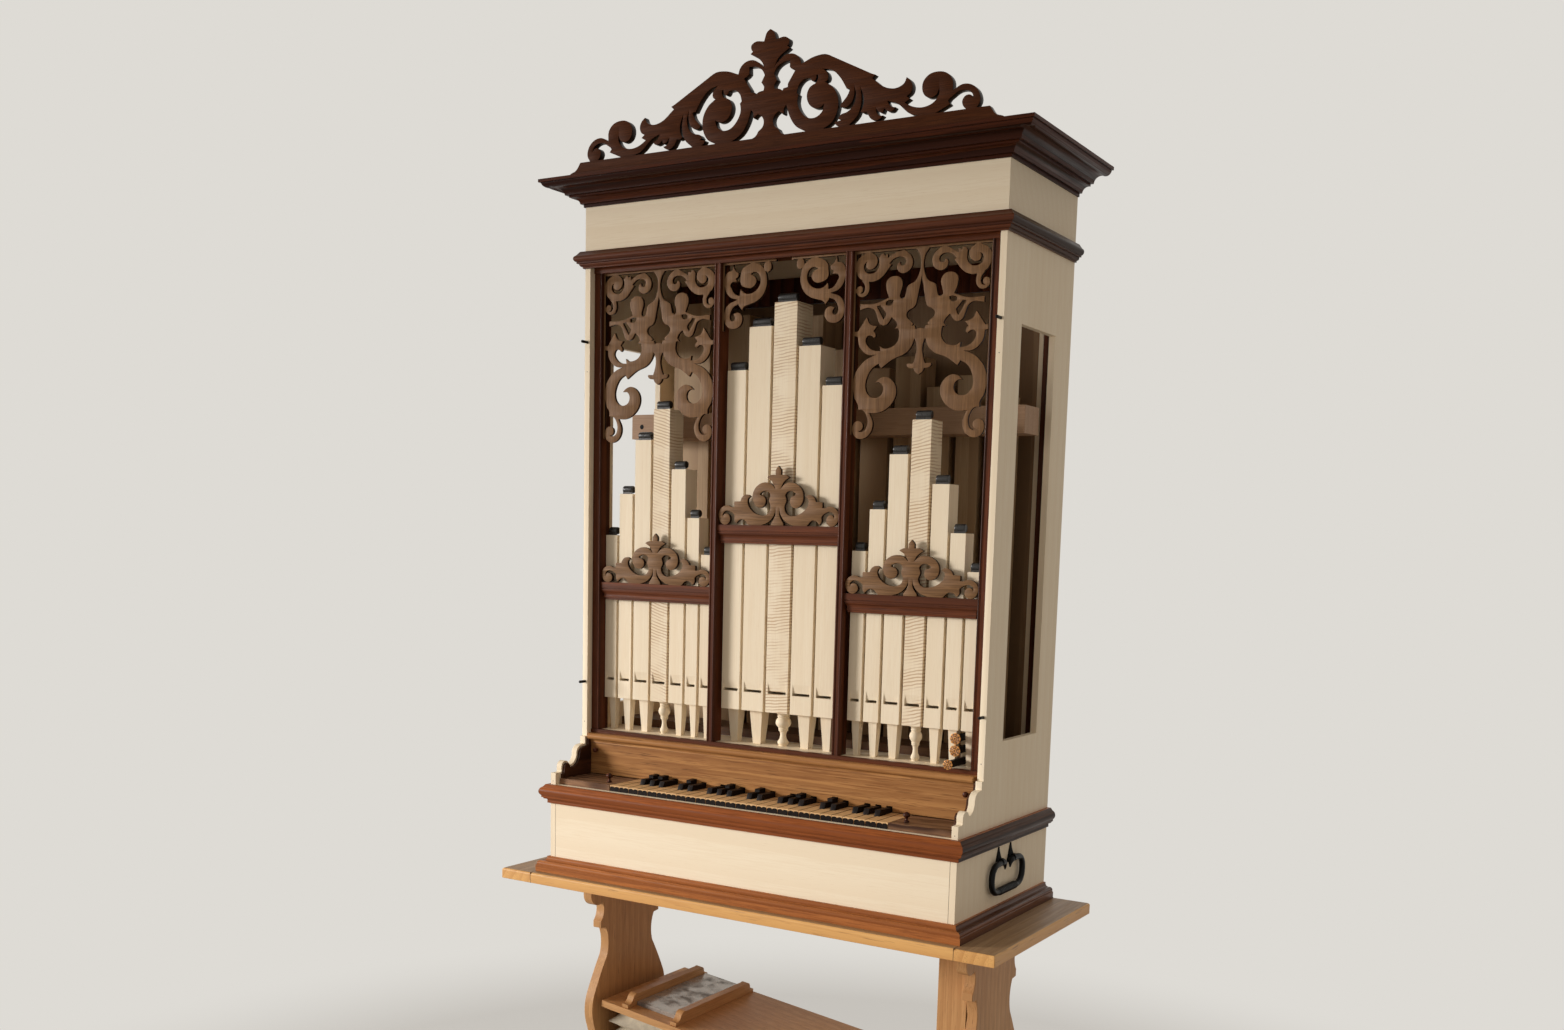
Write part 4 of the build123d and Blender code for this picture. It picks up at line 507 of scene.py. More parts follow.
dressing = {
    "table_top": ("oakX", 1.2), "leg_left": ("oldOakZ", 1.0), "leg_right": ("oldOakZ", 1.0),
    "foot_left": ("oldOakY", 1.0), "foot_right": ("oldOakY", 1.0), "stretchers": ("oldOakX", 1.0),
    "wind_trunk": ("oldOakZ", 0.8), "bellows_bottom_board": ("oldOakX", 0.8),
    "bellows_top_board": ("oldOakX", 0.8), "bellows_cleats": ("oldOakY", 0.6), "lead_weight": ("lead", 0.6),
    "plinth_moulding": ("plinthX", 0.3), "waist_moulding": ("waistX", 0.3),
    "upper_moulding": ("mouldingX", 0.3), "cornice_moulding": ("corniceX", 0.3),
    "front_panel": ("mapleX", 0.4), "side_right": ("mapleZ", 0.5), "side_left": ("mapleZ", 0.5),
    "frieze": ("mapleX", 0.4), "lower_back": ("mapleX", 0.4), "case_floor": ("pineZ", 0.4),
    "key_bed": ("pineZ", 0.4), "natural_keys": ("boxwood", 0.4), "sharp_keys": ("blackwood", 0.25),
    "key_blocks": ("blockWalnut", 0.5), "cheek_linings": ("shadedWalnut", 0.4),
    "name_board": ("nameWalnut", 0.4), "name_moulding": ("nameWalnut", 0.3),
    "frame_stiles": ("mouldingZ", 0.5), "frame_posts": ("mouldingZ", 0.5),
    "frame_bottom_rail": ("mouldingX", 0.4), "frame_top_rail": ("mouldingX", 0.4),
    "toe_board": ("mapleX", 0.4), "wind_chest": ("chestWood", 0.4), "rack_rail": ("rackWood", 0.6),
    "rear_pipes": ("rearPine", 0.5), "rear_frame": ("mouldingZ", 0.5),
    "stop_jamb": ("mapleZ", 0.3), "roof_board": ("pineZ", 0.4), "transoms": ("mouldingX", 0.3),
    "handle_plates": ("iron", 0.3),
}
dressed = {nodeName: dress(nodeName, *how) for nodeName, how in dressing.items()}


def turnGrain(nodeName, finish, board):
    # Beyond the mitre the moulding runs front to back, and so does its grain; on the plinth, waist and upper
    # mouldings the side runs are also darker, painted shade
    mesh = dressed[nodeName].data
    low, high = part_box(board)
    mesh.materials.append(finishes[finish])
    for face in mesh.polygons:
        if abs(face.center.x) - high.x > low.y - face.center.y:
            face.material_index = 1


def cutAcross(mesh, axis, places):
    # New edges where the planes at these places meet the faces
    work = bmesh.new()
    work.from_mesh(mesh)
    for place in places:
        every = list(work.verts) + list(work.edges) + list(work.faces)
        point, normal = np.zeros((2, 3))
        point[axis], normal[axis] = place, 1.0
        bmesh.ops.bisect_plane(work, geom=every, plane_co=point, plane_no=normal)
    work.to_mesh(mesh)
    work.free()


tableEnds = dict(board=78.0, jointHalf=0.5, proud=0.1)


def cleatedTable():
    # The end boards run front to back behind a joint; the upper face is darker than the edges, painted shade as
    # on a face the low lamp hardly reaches
    mesh = dressed["table_top"].data
    low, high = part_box("table_top")
    joint = high.x - tableEnds["board"] * mm
    cutAcross(mesh, 0, (-joint, joint))
    for name in ("oakY", "shadedTopOakX", "shadedTopOakY"):
        mesh.materials.append(finishes[name])
    for face in mesh.polygons:
        atEnd = abs(face.center.x) > joint
        # Faces that look up take the darker oak: painted shade
        face.material_index = int(atEnd) + (2 if face.normal.z > 0.9 else 0)
    lines = Shape()
    half, proud = tableEnds["jointHalf"] * mm, tableEnds["proud"] * mm
    front, back, top = low.y - proud, high.y + proud, high.z + proud
    for x in (-joint, joint):
        bar(lines, (x - half, front, low.z), (x + half, back, top))
    fitOut("table_joints", lines.mesh("table_joints"), "oakJoint", "table_top")


cleatedTable()
turnGrain("plinth_moulding", "plinthSideShadeY", "side_right")
turnGrain("waist_moulding", "mouldingSideShadeY", "side_right")
turnGrain("upper_moulding", "mouldingSideShadeY", "frieze")
turnGrain("cornice_moulding", "corniceY", "frieze")
print("stage: nodes dressed")


# Front pipes: the middle one of each bay has flame figure

pipeFlames = {"pipes_left": "flameFalling", "pipes_centre": "flameLevel", "pipes_right": "flameRising"}


def isMiddle(low, high):
    return np.argsort(np.argsort(low[:, 0])) == len(low) // 2


for nodeName, flame in pipeFlames.items():
    refinish(dress(nodeName, "mapleZ", 0.5, 0.03), flame, isMiddle)


# Pipe feet: square tapered ones from the frame, and a turned one under the middle of each bay

# Pairs of radius and height, as shares of the foot's greatest radius and of its height
turnedFoot = dict(shares=((0.50, 0.0), (0.52, 0.03), (0.62, 0.06), (0.66, 0.10), (0.62, 0.14), (0.46, 0.20),
                          (0.38, 0.28), (0.37, 0.36), (0.44, 0.42), (0.58, 0.455), (0.60, 0.47),
                          (0.55, 0.485), (0.60, 0.50), (0.62, 0.515), (0.57, 0.53), (0.66, 0.56),
                          (0.84, 0.61), (0.93, 0.67), (0.90, 0.74), (0.78, 0.80), (0.66, 0.835),
                          (0.70, 0.85), (0.76, 0.87), (0.72, 0.89), (0.70, 0.91), (0.76, 0.94),
                          (0.88, 0.97), (0.92, 1.0)), sides=40)


def pipeFeet():
    mesh = merged("pipe_feet")
    index, low, high, counts = solidsOf(mesh)
    turnedOnes = counts > 2 * np.median(counts)
    work = bmesh.new()
    work.from_mesh(mesh)
    gone = [point for point in work.verts if turnedOnes[index[point.index]]]
    bmesh.ops.delete(work, geom=gone, context="VERTS")
    work.to_mesh(mesh)
    work.free()
    fitOut("pipe_feet_square", mesh, "mapleZ", "pipe_feet", ("pipe_feet",), 0.3)
    feet = Shape()
    for corner, far in zip(low[turnedOnes], high[turnedOnes]):
        middle = (corner + far) / 2
        radius, tall = (far[0] - corner[0]) / 2 / mm, (far[2] - corner[2]) / mm
        profile = [(share * radius, rise * tall) for share, rise in turnedFoot["shares"]]
        lathe(feet, (middle[0], middle[1], corner[2]), profile, turnedFoot["sides"], "z", 2)
    fitOut("pipe_feet_turned", feet.mesh("pipe_feet_turned"), "mapleZ", "pipe_feet", ("pipe_feet",),
           angle=50.0)


pipeFeet()


# Tuning rolls: soft lead curled over the top of each pipe

rollSizes = dict(radius=7.6, ease=1.4, tongue=1.2, inset=0.5, lift=3.8)


def tuningRolls():
    rolls = Shape()
    low, high = solidBoxes("tuning_rolls")
    radius, ease = rollSizes["radius"], rollSizes["ease"]
    for corner, far in zip(low, high):
        length = (far[0] - corner[0]) / mm
        middle = (corner[1] + far[1]) / 2
        profile = [(radius - 2 * ease, 0.0), (radius - 0.4 * ease, 0.4 * ease), (radius, 1.6 * ease),
                   (radius, length - 1.6 * ease), (radius - 0.4 * ease, length - 0.4 * ease),
                   (radius - 2 * ease, length)]
        lathe(rolls, (corner[0], middle, far[2] - rollSizes["lift"] * mm), profile, 24, "x", 3)
        front = corner[1] + rollSizes["inset"] * mm
        back = front + rollSizes["tongue"] * mm
        bar(rolls, (corner[0], front, corner[2]), (far[0], back, far[2] - radius * mm))
    mesh = rolls.mesh("tuning_rolls_lead")
    fitOut("tuning_rolls_lead", mesh, "leadRoll", "tuning_rolls", ("tuning_rolls",), angle=50.0)


tuningRolls()


# Stops: a carved gilt rose in two tiers on a flat dark rod

roseSizes = dict(petals=8, scallop=0.10, tierThickness=2.6, tierShare=0.8, overlap=0.5, dome=1.4, cut=0.7,
                 rows=26, columns=96, rodWidth=7.0, rodHeight=13.0, thickness=6.0, swell=1.2, railGap=0.2)
# Place, width and weight of the ring grooves, and how far the others reach, as shares of the radius
roseGrooves = dict(rings=((0.42, 0.07, 1.0), (0.72, 0.06, 0.8)), petalFrom=0.42, petalDepth=1.3, petalWidth=0.4,
                   eye=0.2, eyeDepth=2.4, rim=0.97)


def roseTier(shape, grooves, centre, radius, back, front, carved):
    # The radius swells at each petal; grooves run between the petals, in two rings and round the eye
    share = np.concatenate([np.linspace(0.0, 1.0, roseSizes["rows"]), [1.0, 0.0]])[:, None]
    turn = np.linspace(0.0, 2 * np.pi, roseSizes["columns"], endpoint=False)[None, :]
    petal = np.abs(np.cos(roseSizes["petals"] / 2 * turn))
    reach = radius * (1.0 - roseSizes["scallop"] * (1.0 - petal) * share**2)
    between = np.clip(roseGrooves["petalDepth"] - petal / roseGrooves["petalWidth"], 0.0, 1.0)
    between = between * (share > roseGrooves["petalFrom"])
    rings = sum(weight * np.exp(-((share - place) / width) ** 2)
                for place, width, weight in roseGrooves["rings"])
    eye = np.clip(1.0 - share / roseGrooves["eye"], 0.0, 1.0) * roseGrooves["eyeDepth"]
    groove = np.clip(np.maximum(np.maximum(between, rings), eye), 0.0, 1.0) * (share < roseGrooves["rim"])
    depth = np.full_like(groove, front) + roseSizes["dome"] * mm * share**2
    depth += roseSizes["cut"] * mm * groove if carved else 0.0
    depth[-2:] = back
    groove[-2:] = 0.0
    x = centre[0] + reach * share * np.cos(turn)
    z = centre[1] + reach * share * np.sin(turn)
    shape.grid(np.stack([x, depth, z], -1))
    grooves.append(groove.ravel() if carved else np.zeros(groove.size))


def stop(nodeName):
    low, high = (np.array(corner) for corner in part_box(nodeName))
    centre = ((low[0] + high[0]) / 2, (low[2] + high[2]) / 2)
    radius = (high[0] - low[0]) / 2 * roseSizes["swell"]
    # The lowest rose just clears the rail when its stop is pushed in
    radius = min(radius, centre[1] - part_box("frame_bottom_rail")[1].z - roseSizes["railGap"] * mm)
    tier = low[1] + (roseSizes["thickness"] - roseSizes["tierThickness"]) * mm
    back = low[1] + roseSizes["thickness"] * mm
    rose, grooves = Shape(), []
    roseTier(rose, grooves, centre, radius, tier, low[1], True)
    inner = radius * roseSizes["tierShare"]
    roseTier(rose, grooves, centre, inner, back, tier - roseSizes["overlap"] * mm, False)
    mesh = bpy.data.meshes.new(nodeName + "_rose")
    mesh.from_pydata(np.concatenate(rose.points).tolist(), [], np.concatenate(rose.faces).tolist())
    groove = np.concatenate(grooves).astype(np.float32)
    mesh.attributes.new("groove", "FLOAT", "POINT").data.foreach_set("value", groove)
    work = bmesh.new()
    work.from_mesh(mesh)
    bmesh.ops.remove_doubles(work, verts=work.verts, dist=0.000002)
    bmesh.ops.recalc_face_normals(work, faces=work.faces)
    work.to_mesh(mesh)
    work.free()
    fitOut(nodeName + "_rose", mesh, "gilt", nodeName, (nodeName,), angle=60.0)
    rod = Shape()
    side, tall = roseSizes["rodWidth"] / 2 * mm, roseSizes["rodHeight"] / 2 * mm
    bar(rod, (centre[0] - side, back, centre[1] - tall), (centre[0] + side, high[1], centre[1] + tall))
    fitOut(nodeName + "_rod", rod.mesh(nodeName + "_rod"), "blackwood", nodeName, (nodeName,), 0.5)


for nodeName in ("stop_upper", "stop_middle", "stop_lower"):
    stop(nodeName)


# Turned knobs: two that lift the key blocks out and two on the name board

knobShares = {
    "lift_knobs": ((0.72, 0.0), (0.74, 0.08), (0.45, 0.2), (0.36, 0.34), (0.42, 0.46), (0.9, 0.56),
                   (1.0, 0.68), (0.92, 0.8), (0.6, 0.92), (0.2, 1.0)),
    "name_board_knobs": ((0.6, 0.0), (0.5, 0.15), (0.42, 0.38), (0.9, 0.55), (1.0, 0.72), (0.8, 0.9),
                         (0.3, 1.0)),
}


def turnedKnobs(nodeName, axis):
    knobs = Shape()
    low, high = solidBoxes(nodeName)
    for corner, far in zip(low, high):
        middle = (corner + far) / 2
        radius = (far[0] - corner[0]) / 2 / mm
        tall = (far[2] - corner[2] if axis == "z" else far[1] - corner[1]) / mm
        base = (middle[0], middle[1], corner[2]) if axis == "z" else (middle[0], far[1], middle[2])
        profile = [(share * radius, rise * tall) for share, rise in knobShares[nodeName]]
        lathe(knobs, base, profile, 32, axis, 3)
    name = nodeName + "_turned"
    fitOut(name, knobs.mesh(name), "mouldingZ", nodeName, (nodeName,), angle=60.0)


turnedKnobs("lift_knobs", "z")
turnedKnobs("name_board_knobs", "-y")


# Key fronts: dark wood with two round arches under each key's light edge

archSizes = dict(edge=2.0, arches=2, gap=0.15, steps=12, proud=0.35, inset=0.2, sunk=3.0, round=0.26)


def keyFronts():
    fronts = Shape()
    low, high = solidBoxes("natural_keys")
    base = float(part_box("front_panel")[1].z) - archSizes["sunk"] * mm
    for corner, far in zip(low, high):
        inner = archSizes["gap"] * mm
        across = np.linspace(0.0, archSizes["arches"], archSizes["arches"] * archSizes["steps"] + 1)
        span = (far[0] - corner[0] - 2 * inner) / archSizes["arches"]
        # Each arch is half a circle, flattened a little, over its own share of the width
        crown = span * archSizes["round"]
        rise = np.sqrt(np.clip(1.0 - (2.0 * (across % 1.0) - 1.0) ** 2, 0.0, 1.0)) * crown
        x = corner[0] + inner + across * span
        top = far[2] - archSizes["edge"] * mm - crown + rise
        y0, y1 = corner[1] - archSizes["proud"] * mm, corner[1] + archSizes["inset"] * mm
        ring = [(y0, np.full_like(x, base)), (y0, top), (y1, top), (y1, np.full_like(x, base))]
        rows = np.stack([np.stack([x, np.full_like(x, y), z], -1) for y, z in ring], 1)
        ends = np.repeat(rows[[0, -1]].mean(1)[:, None], 4, 1)
        fronts.grid(np.concatenate([ends[:1], rows, ends[1:]]))
    fitOut("key_fronts", fronts.mesh("key_fronts"), "blackwood", "natural_keys")


keyFronts()


keyLines = dict(width=2.2, fromFront=0.3, depth=0.4, proud=0.12)


def keyGaps():
    # Thin dark lines where the natural keys meet: painted shade of the narrow gaps between them
    gaps = Shape()
    half, depth, proud = keyLines["width"] / 2 * mm, keyLines["depth"] * mm, keyLines["proud"] * mm
    low, high = solidBoxes("natural_keys")
    for far, corner in zip(high[:-1], low[1:]):
        x, front = (far[0] + corner[0]) / 2, corner[1] + keyLines["fromFront"] * mm
        bar(gaps, (x - half, front, far[2] - depth), (x + half, far[1], far[2] + proud))
    fitOut("key_gap_shades", gaps.mesh("key_gap_shades"), "keyGapShade", "natural_keys")


keyGaps()


# Fretwork: the outlines of the frame's own fretwork with their curves made smooth and their edges eased

def frontLoops(mesh, level):
    # Outlines of the flat faces that look forward at the given depth, each as a list of (x, z) points. The
    # faces are taken in their own order, so that every run finds the outlines in the same order
    work = bmesh.new()
    work.from_mesh(mesh)
    work.normal_update()
    front = [face for face in work.faces
             if face.normal.y < -0.99 and abs(face.calc_center_median().y - level) < 0.05 * mm]
    inFront = set(front)
    following = {}
    for face in front:
        for loop in face.loops:
            if not any(other in inFront for other in loop.edge.link_faces if other is not face):
                following.setdefault(loop.vert, []).append(loop.link_loop_next.vert)
    outlines = []
    while following:
        start = next(iter(following))
        point, outline = start, []
        while True:
            outline.append((point.co.x, point.co.z))
            choices = following[point]
            ahead = choices.pop()
            if not choices:
                del following[point]
            point = ahead
            if point is start or point not in following:
                break
        outlines.append(np.array(outline))
    work.free()
    return outlines


def fretwork(nodeName, finish, ease=0.5):
    low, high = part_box(nodeName)
    curve = bpy.data.curves.new(nodeName + "_outline", "CURVE")
    curve.dimensions = "2D"
    curve.fill_mode = "BOTH"
    for outline in frontLoops(merged(nodeName), low.y):
        smooth = smoothPath(outline)
        spline = curve.splines.new("POLY")
        spline.points.add(len(smooth) - 1)
        flatPoints = np.column_stack([smooth, np.zeros(len(smooth)), np.ones(len(smooth))])
        spline.points.foreach_set("co", flatPoints.ravel())
        spline.use_cyclic_u = True
    curve.extrude = (high.y - low.y) / 2 - ease * mm
    curve.bevel_depth = ease * mm
    curve.bevel_resolution = 1
    curve.offset = -ease * mm
    held = bpy.data.objects.new(nodeName + "_outline", curve)
    mesh = bpy.data.meshes.new_from_object(held)
    flat = pointsOf(mesh)
    # The curve lies flat; it is stood up so that its top looks forward
    upright = np.column_stack([flat[:, 0], (low.y + high.y) / 2 - flat[:, 2], flat[:, 1]])
    mesh.vertices.foreach_set("co", upright.ravel())
    work = bmesh.new()
    work.from_mesh(mesh)
    bmesh.ops.remove_doubles(work, verts=work.verts, dist=0.000005)
    work.to_mesh(mesh)
    work.free()
    mesh.materials.clear()
    bpy.data.objects.remove(held)
    piece = fitOut(nodeName + "_fret", mesh, finish, nodeName, (nodeName,), spread=0.04, angle=40.0)
    piece.data.materials.append(finishes["fretEdgeShade"])
    for face in piece.data.polygons:
        if abs(face.normal.y) < 0.3:
            face.material_index = 1      # painted shade: the sawn edge is darker than the face


fretwork("crest", "crestX")
fretwork("transom_crests", "fretX")
fretwork("pipe_shades", "fretZ")
print("stage: fretwork cut")


# Carrying handles: a round iron loop whose ends hook down inside the eyes, with a thick notched grip

handleSizes = dict(rod=5.8, grip=7.6, gripHalf=44.0, hook=15.0, hookIn=12.0,
                   hookBend=((0.6, 0.5), (4.0, 0.12)), hookTip=0.2, shoulder=9.0, corner=24.0, swellEase=6.0,
                   notches=7, notchDepth=1.1)


def handle(nodeName):
    low, high = (np.array(corner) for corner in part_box(nodeName))
    x = (low[0] + high[0]) / 2
    middle = (low[1] + high[1]) / 2
    rod, grip, corner = (handleSizes[key] * mm for key in ("rod", "grip", "corner"))
    top, bottom, half = high[2] - rod, low[2] + grip, (high[1] - low[1]) / 2 - rod
    inner, hook = handleSizes["hookIn"] * mm, handleSizes["hook"] * mm
    side = [(inner, top - hook)]
    side += [(inner + out * mm, top - share * hook) for out, share in handleSizes["hookBend"]]
    side += [(inner + handleSizes["shoulder"] * mm, top), (half - corner, top)]
    for step in range(1, 5):
        turn = math.radians(90 - 22.5 * step)
        side.append((half - corner + corner * math.cos(turn), top - corner + corner * math.sin(turn)))
    for step in range(0, 5):
        turn = math.radians(-22.5 * step)
        side.append((half - corner + corner * math.cos(turn), bottom + corner + corner * math.sin(turn)))
    side = smoothPath(np.array(side), 6, False, 80.0)
    run = np.linspace(half - corner, -(half - corner), 60)[1:-1]
    path = np.vstack([side, np.column_stack([run, np.full_like(run, bottom)]), side[::-1] * (-1.0, 1.0)])
    reach = np.concatenate([[0.0], np.cumsum(np.linalg.norm(np.diff(path, axis=0), axis=1))])
    fromEnd = np.minimum(reach, reach[-1] - reach)
    # The hooks taper to a point, and the grip swells along the bottom and is notched across
    tip = handleSizes["hookTip"]
    radius = rod * np.clip(tip + (1.0 - tip) * fromEnd / hook, tip, 1.0)
    along = path[:, 0] / (handleSizes["gripHalf"] * mm)
    onGrip = path[:, 1] < bottom + 0.5 * mm
    swell = np.clip((1.0 - np.abs(along)) * handleSizes["swellEase"], 0.0, 1.0) * onGrip
    wave = np.sin(np.pi * handleSizes["notches"] * along) ** 2
    radius = radius + swell * (grip - rod - handleSizes["notchDepth"] * mm * wave)
    loop = Shape()
    tube(loop, np.column_stack([np.full(len(path), x), path[:, 0] + middle, path[:, 1]]), radius, 14)
    fitOut(nodeName + "_bail", loop.mesh(nodeName + "_bail"), "iron", nodeName, (nodeName,), angle=60.0)


for nodeName in ("handle_left", "handle_right"):
    handle(nodeName)


spikeSizes = dict(start=0.16, widthPower=0.95, thickness=11.0, thickPower=0.9, tip=0.4, rows=12, columns=9)


def handleSpikes():
    # Each spike is a ridge that narrows from its eye to a point: width and thickness shrink with height
    spikes = Shape()
    low, high = solidBoxes("handle_plates")
    for corner, far in zip(low, high):
        side = 1.0 if corner[0] > 0 else -1.0
        wall = corner[0] if side > 0 else far[0]
        rise = np.linspace(0.0, 1.0, spikeSizes["rows"])
        z = corner[2] + (far[2] - corner[2]) * (spikeSizes["start"] + (1.0 - spikeSizes["start"]) * rise)
        wide = (far[1] - corner[1]) / 2 * (1.0 - rise) ** spikeSizes["widthPower"]
        thick = (1.0 - rise) ** spikeSizes["thickPower"]
        thick = (spikeSizes["thickness"] * thick + spikeSizes["tip"]) * mm
        turn = np.linspace(-np.pi / 2, np.pi / 2, spikeSizes["columns"])
        y = (corner[1] + far[1]) / 2 + wide[:, None] * np.sin(turn)
        x = wall + side * thick[:, None] * (1.0 - np.abs(np.sin(turn)))
        rows = np.stack([x, y, np.repeat(z[:, None], len(turn), 1)], -1)
        ends = np.repeat(rows[[0, -1]].mean(1)[:, None], len(turn), 1)
        spikes.grid(np.concatenate([ends[:1], rows, ends[1:]]))
    fitOut("handle_spikes", spikes.mesh("handle_spikes"), "iron", "handle_plates", angle=60.0)


handleSpikes()


# Bellows: pleated leather between the two boards

pleats = dict(folds=3, depth=20.0, share=0.42, softness=0.85, corner=9.0, cornerSteps=7, rowsPerFold=10)


def bellowsLeather():
    low, high = (np.array(corner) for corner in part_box("bellows_ribs"))
    points = pointsOf(merged("bellows_ribs"))
    roofRight = points[points[:, 0] > high[0] - 1 * mm][:, 2].max()
    radius = pleats["corner"] * mm
    outline = []
    for number, (sx, sy) in enumerate(((1, 1), (-1, 1), (-1, -1), (1, -1))):
        for step in range(pleats["cornerSteps"]):
            turn = math.radians(90 * (number + step / (pleats["cornerSteps"] - 1)))
            outline.append((sx, sy, radius * math.cos(turn), radius * math.sin(turn)))
    sx, sy, dx, dy = np.array(outline).T
    middle, half = (low + high) / 2, (high - low) / 2
    plain = middle[0] + sx * (half[0] - radius) + dx
    roof = roofRight + (high[2] - roofRight) * (high[0] - plain) / (high[0] - low[0])
    rows = pleats["folds"] * pleats["rowsPerFold"] + 1
    rise = np.linspace(0.0, 1.0, rows)[:, None]
    # The folds run in and out as a soft zigzag, as deep as the opening is high at that place allows
    fold = (1.0 - np.abs(2.0 * ((rise * pleats["folds"]) % 1.0) - 1.0)) ** pleats["softness"]
    deep = np.minimum(pleats["depth"] * mm, pleats["share"] * (roof - low[2]))[None, :] * fold
    x = middle[0] + sx * (half[0] - radius - deep) + dx
    y = middle[1] + sy * (half[1] - radius - deep) + dy
    z = low[2] + rise * (roof - low[2])[None, :]
    leather = Shape()
    rings = np.stack([x, y, z], -1)
    ends = rings[[0, -1]].copy()
    ends[:, :, 1] = middle[1]
    leather.grid(np.concatenate([ends[:1], rings, ends[1:]]))
    mesh = leather.mesh("bellows_leather")
    piece = fitOut("bellows_leather", mesh, "leather", "bellows_ribs", ("bellows_ribs",), angle=70.0)
    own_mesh(piece)


bellowsLeather()


# Door catches: round black pegs in the front edges of the side boards

catchSizes = dict(radius=2.9, tip=1.0, tipShare=0.6)


def doorCatches():
    pegs = Shape()
    radius = catchSizes["radius"]
    low, high = solidBoxes("door_catches")
    for corner, far in zip(low, high):
        middle = (corner + far) / 2
        length = (far[1] - corner[1]) / mm
        tip = catchSizes["tipShare"] * radius
        profile = [(radius, 0.0), (radius, length - catchSizes["tip"]), (tip, length)]
        lathe(pegs, (middle[0], far[1], middle[2]), profile, 20, "-y", 3)
    fitOut("door_catch_pegs", pegs.mesh("door_catch_pegs"), "iron", "door_catches", ("door_catches",),
           angle=50.0)


doorCatches()


# Small holes and nails

dotSizes = dict(rackFromEnd=26.0, rackRadius=5.0, nailHeights=(1066.0, 1790.0), nailRadius=0.9,
                edgeHeight=950.0, edgeRadius=0.8)


def darkDots():
    # Shallow dark discs: (x, y, z, radius), on faces that look forward; the two on the rack rail are painted
    # shade of its peg holes
    dots = Shape()
    rack = [np.array(corner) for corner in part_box("rack_rail")]
    stile = [np.array(corner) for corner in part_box("frame_stiles")]
    board = [np.array(corner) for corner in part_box("side_right")]
    edge = (stile[1][0] + board[1][0]) / 2
    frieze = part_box("frieze")[0].y
    inRack, rackMiddle = rack[1][0] - dotSizes["rackFromEnd"] * mm, (rack[0][2] + rack[1][2]) / 2
    places = [(side * inRack, rack[0][1], rackMiddle, dotSizes["rackRadius"]) for side in (-1, 1)]
    places += [(side * edge, frieze, height * mm, dotSizes["nailRadius"])
               for side in (-1, 1) for height in dotSizes["nailHeights"]]
    places += [(side * edge, board[0][1], dotSizes["edgeHeight"] * mm, dotSizes["edgeRadius"])
               for side in (-1, 1)]
    for x, y, z, radius in places:
        lathe(dots, (x, y, z), [(radius, -0.4), (radius, 0.05), (0.6 * radius, 0.12)], 20, "-y", 1)
    fitOut("dark_dots", dots.mesh("dark_dots"), "hole", "rack_rail")


darkDots()


# Foot of the name board, notched over the sharps, and the seams where the front panel meets the side boards

footSizes = dict(overKeys=1.5, besideSharps=1.0, overSharps=0.7, thickness=6.0)
seamSizes = dict(half=0.4, proud=0.08, depth=0.5)


def nameBoardFoot():
    foot = Shape()
    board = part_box("name_board")
    front, back = board[0].y, board[0].y + footSizes["thickness"] * mm
    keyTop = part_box("natural_keys")[1].z + footSizes["overKeys"] * mm
    beside = footSizes["besideSharps"] * mm
    sharpLow, sharpHigh = solidBoxes("sharp_keys")
    edges = [board[0].x]
    for corner, far in zip(sharpLow, sharpHigh):
        edges += [corner[0] - beside, far[0] + beside]
    edges.append(board[1].x)
    for x0, x1 in zip(edges[::2], edges[1::2]):
        bar(foot, (x0, front, keyTop), (x1, back, board[0].z))
    for x0, x1, far in zip(edges[1::2], edges[2::2], sharpHigh):
        bar(foot, (x0, front, far[2] + footSizes["overSharps"] * mm), (x1, back, board[0].z))
    fitOut("name_board_foot", foot.mesh("name_board_foot"), "nameWalnut", "name_board", spread=0.0)


def panelSeams():
    seams = Shape()
    low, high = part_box("front_panel")
    half = seamSizes["half"] * mm
    front, back = low.y - seamSizes["proud"] * mm, low.y + seamSizes["depth"] * mm
    for side in (-1, 1):
        bar(seams, (side * high.x - half, front, low.z), (side * high.x + half, back, high.z))
    fitOut("panel_seams", seams.mesh("panel_seams"), "seam", "front_panel")


nameBoardFoot()
panelSeams()


# Rear door: a thin pine panel between the posts of the rear frame, with a pale lipping down each side

rearDoor = dict(fromFront=4.0, thickness=8.0, lipping=9.0, gap=1.5, post=34.0, bottom=1067.5, top=1949.5,
                boards=5, proud=0.5)


def rearDoorPanel():
    low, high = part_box("rear_frame")
    y0 = low.y + rearDoor["fromFront"] * mm
    y1 = y0 + rearDoor["thickness"] * mm
    bottom, top = rearDoor["bottom"] * mm, rearDoor["top"] * mm
    edge = high.x - (rearDoor["post"] + rearDoor["gap"]) * mm
    inner = edge - rearDoor["lipping"] * mm
    boards, lippings = Shape(), Shape()
    widths = np.linspace(-inner, inner, rearDoor["boards"] + 1)
    for x0, x1 in zip(widths[:-1], widths[1:]):
        bar(boards, (x0, y0, bottom), (x1, y1, top))
    for side in (-1, 1):
        x0, x1 = sorted((side * inner, side * edge))
        bar(lippings, (x0, y0 - rearDoor["proud"] * mm, bottom), (x1, y1, top))
    # The boards take the darkened pine: painted shade of the inside of the case
    fitOut("rear_door_boards", boards.mesh("rear_door_boards"), "shadedDoorPine", "rear_frame", spread=0.07)
    fitOut("rear_door_lippings", lippings.mesh("rear_door_lippings"), "mapleZ", "rear_frame")


rearDoorPanel()
print("stage: small pieces made")


# Floor, backdrop and light

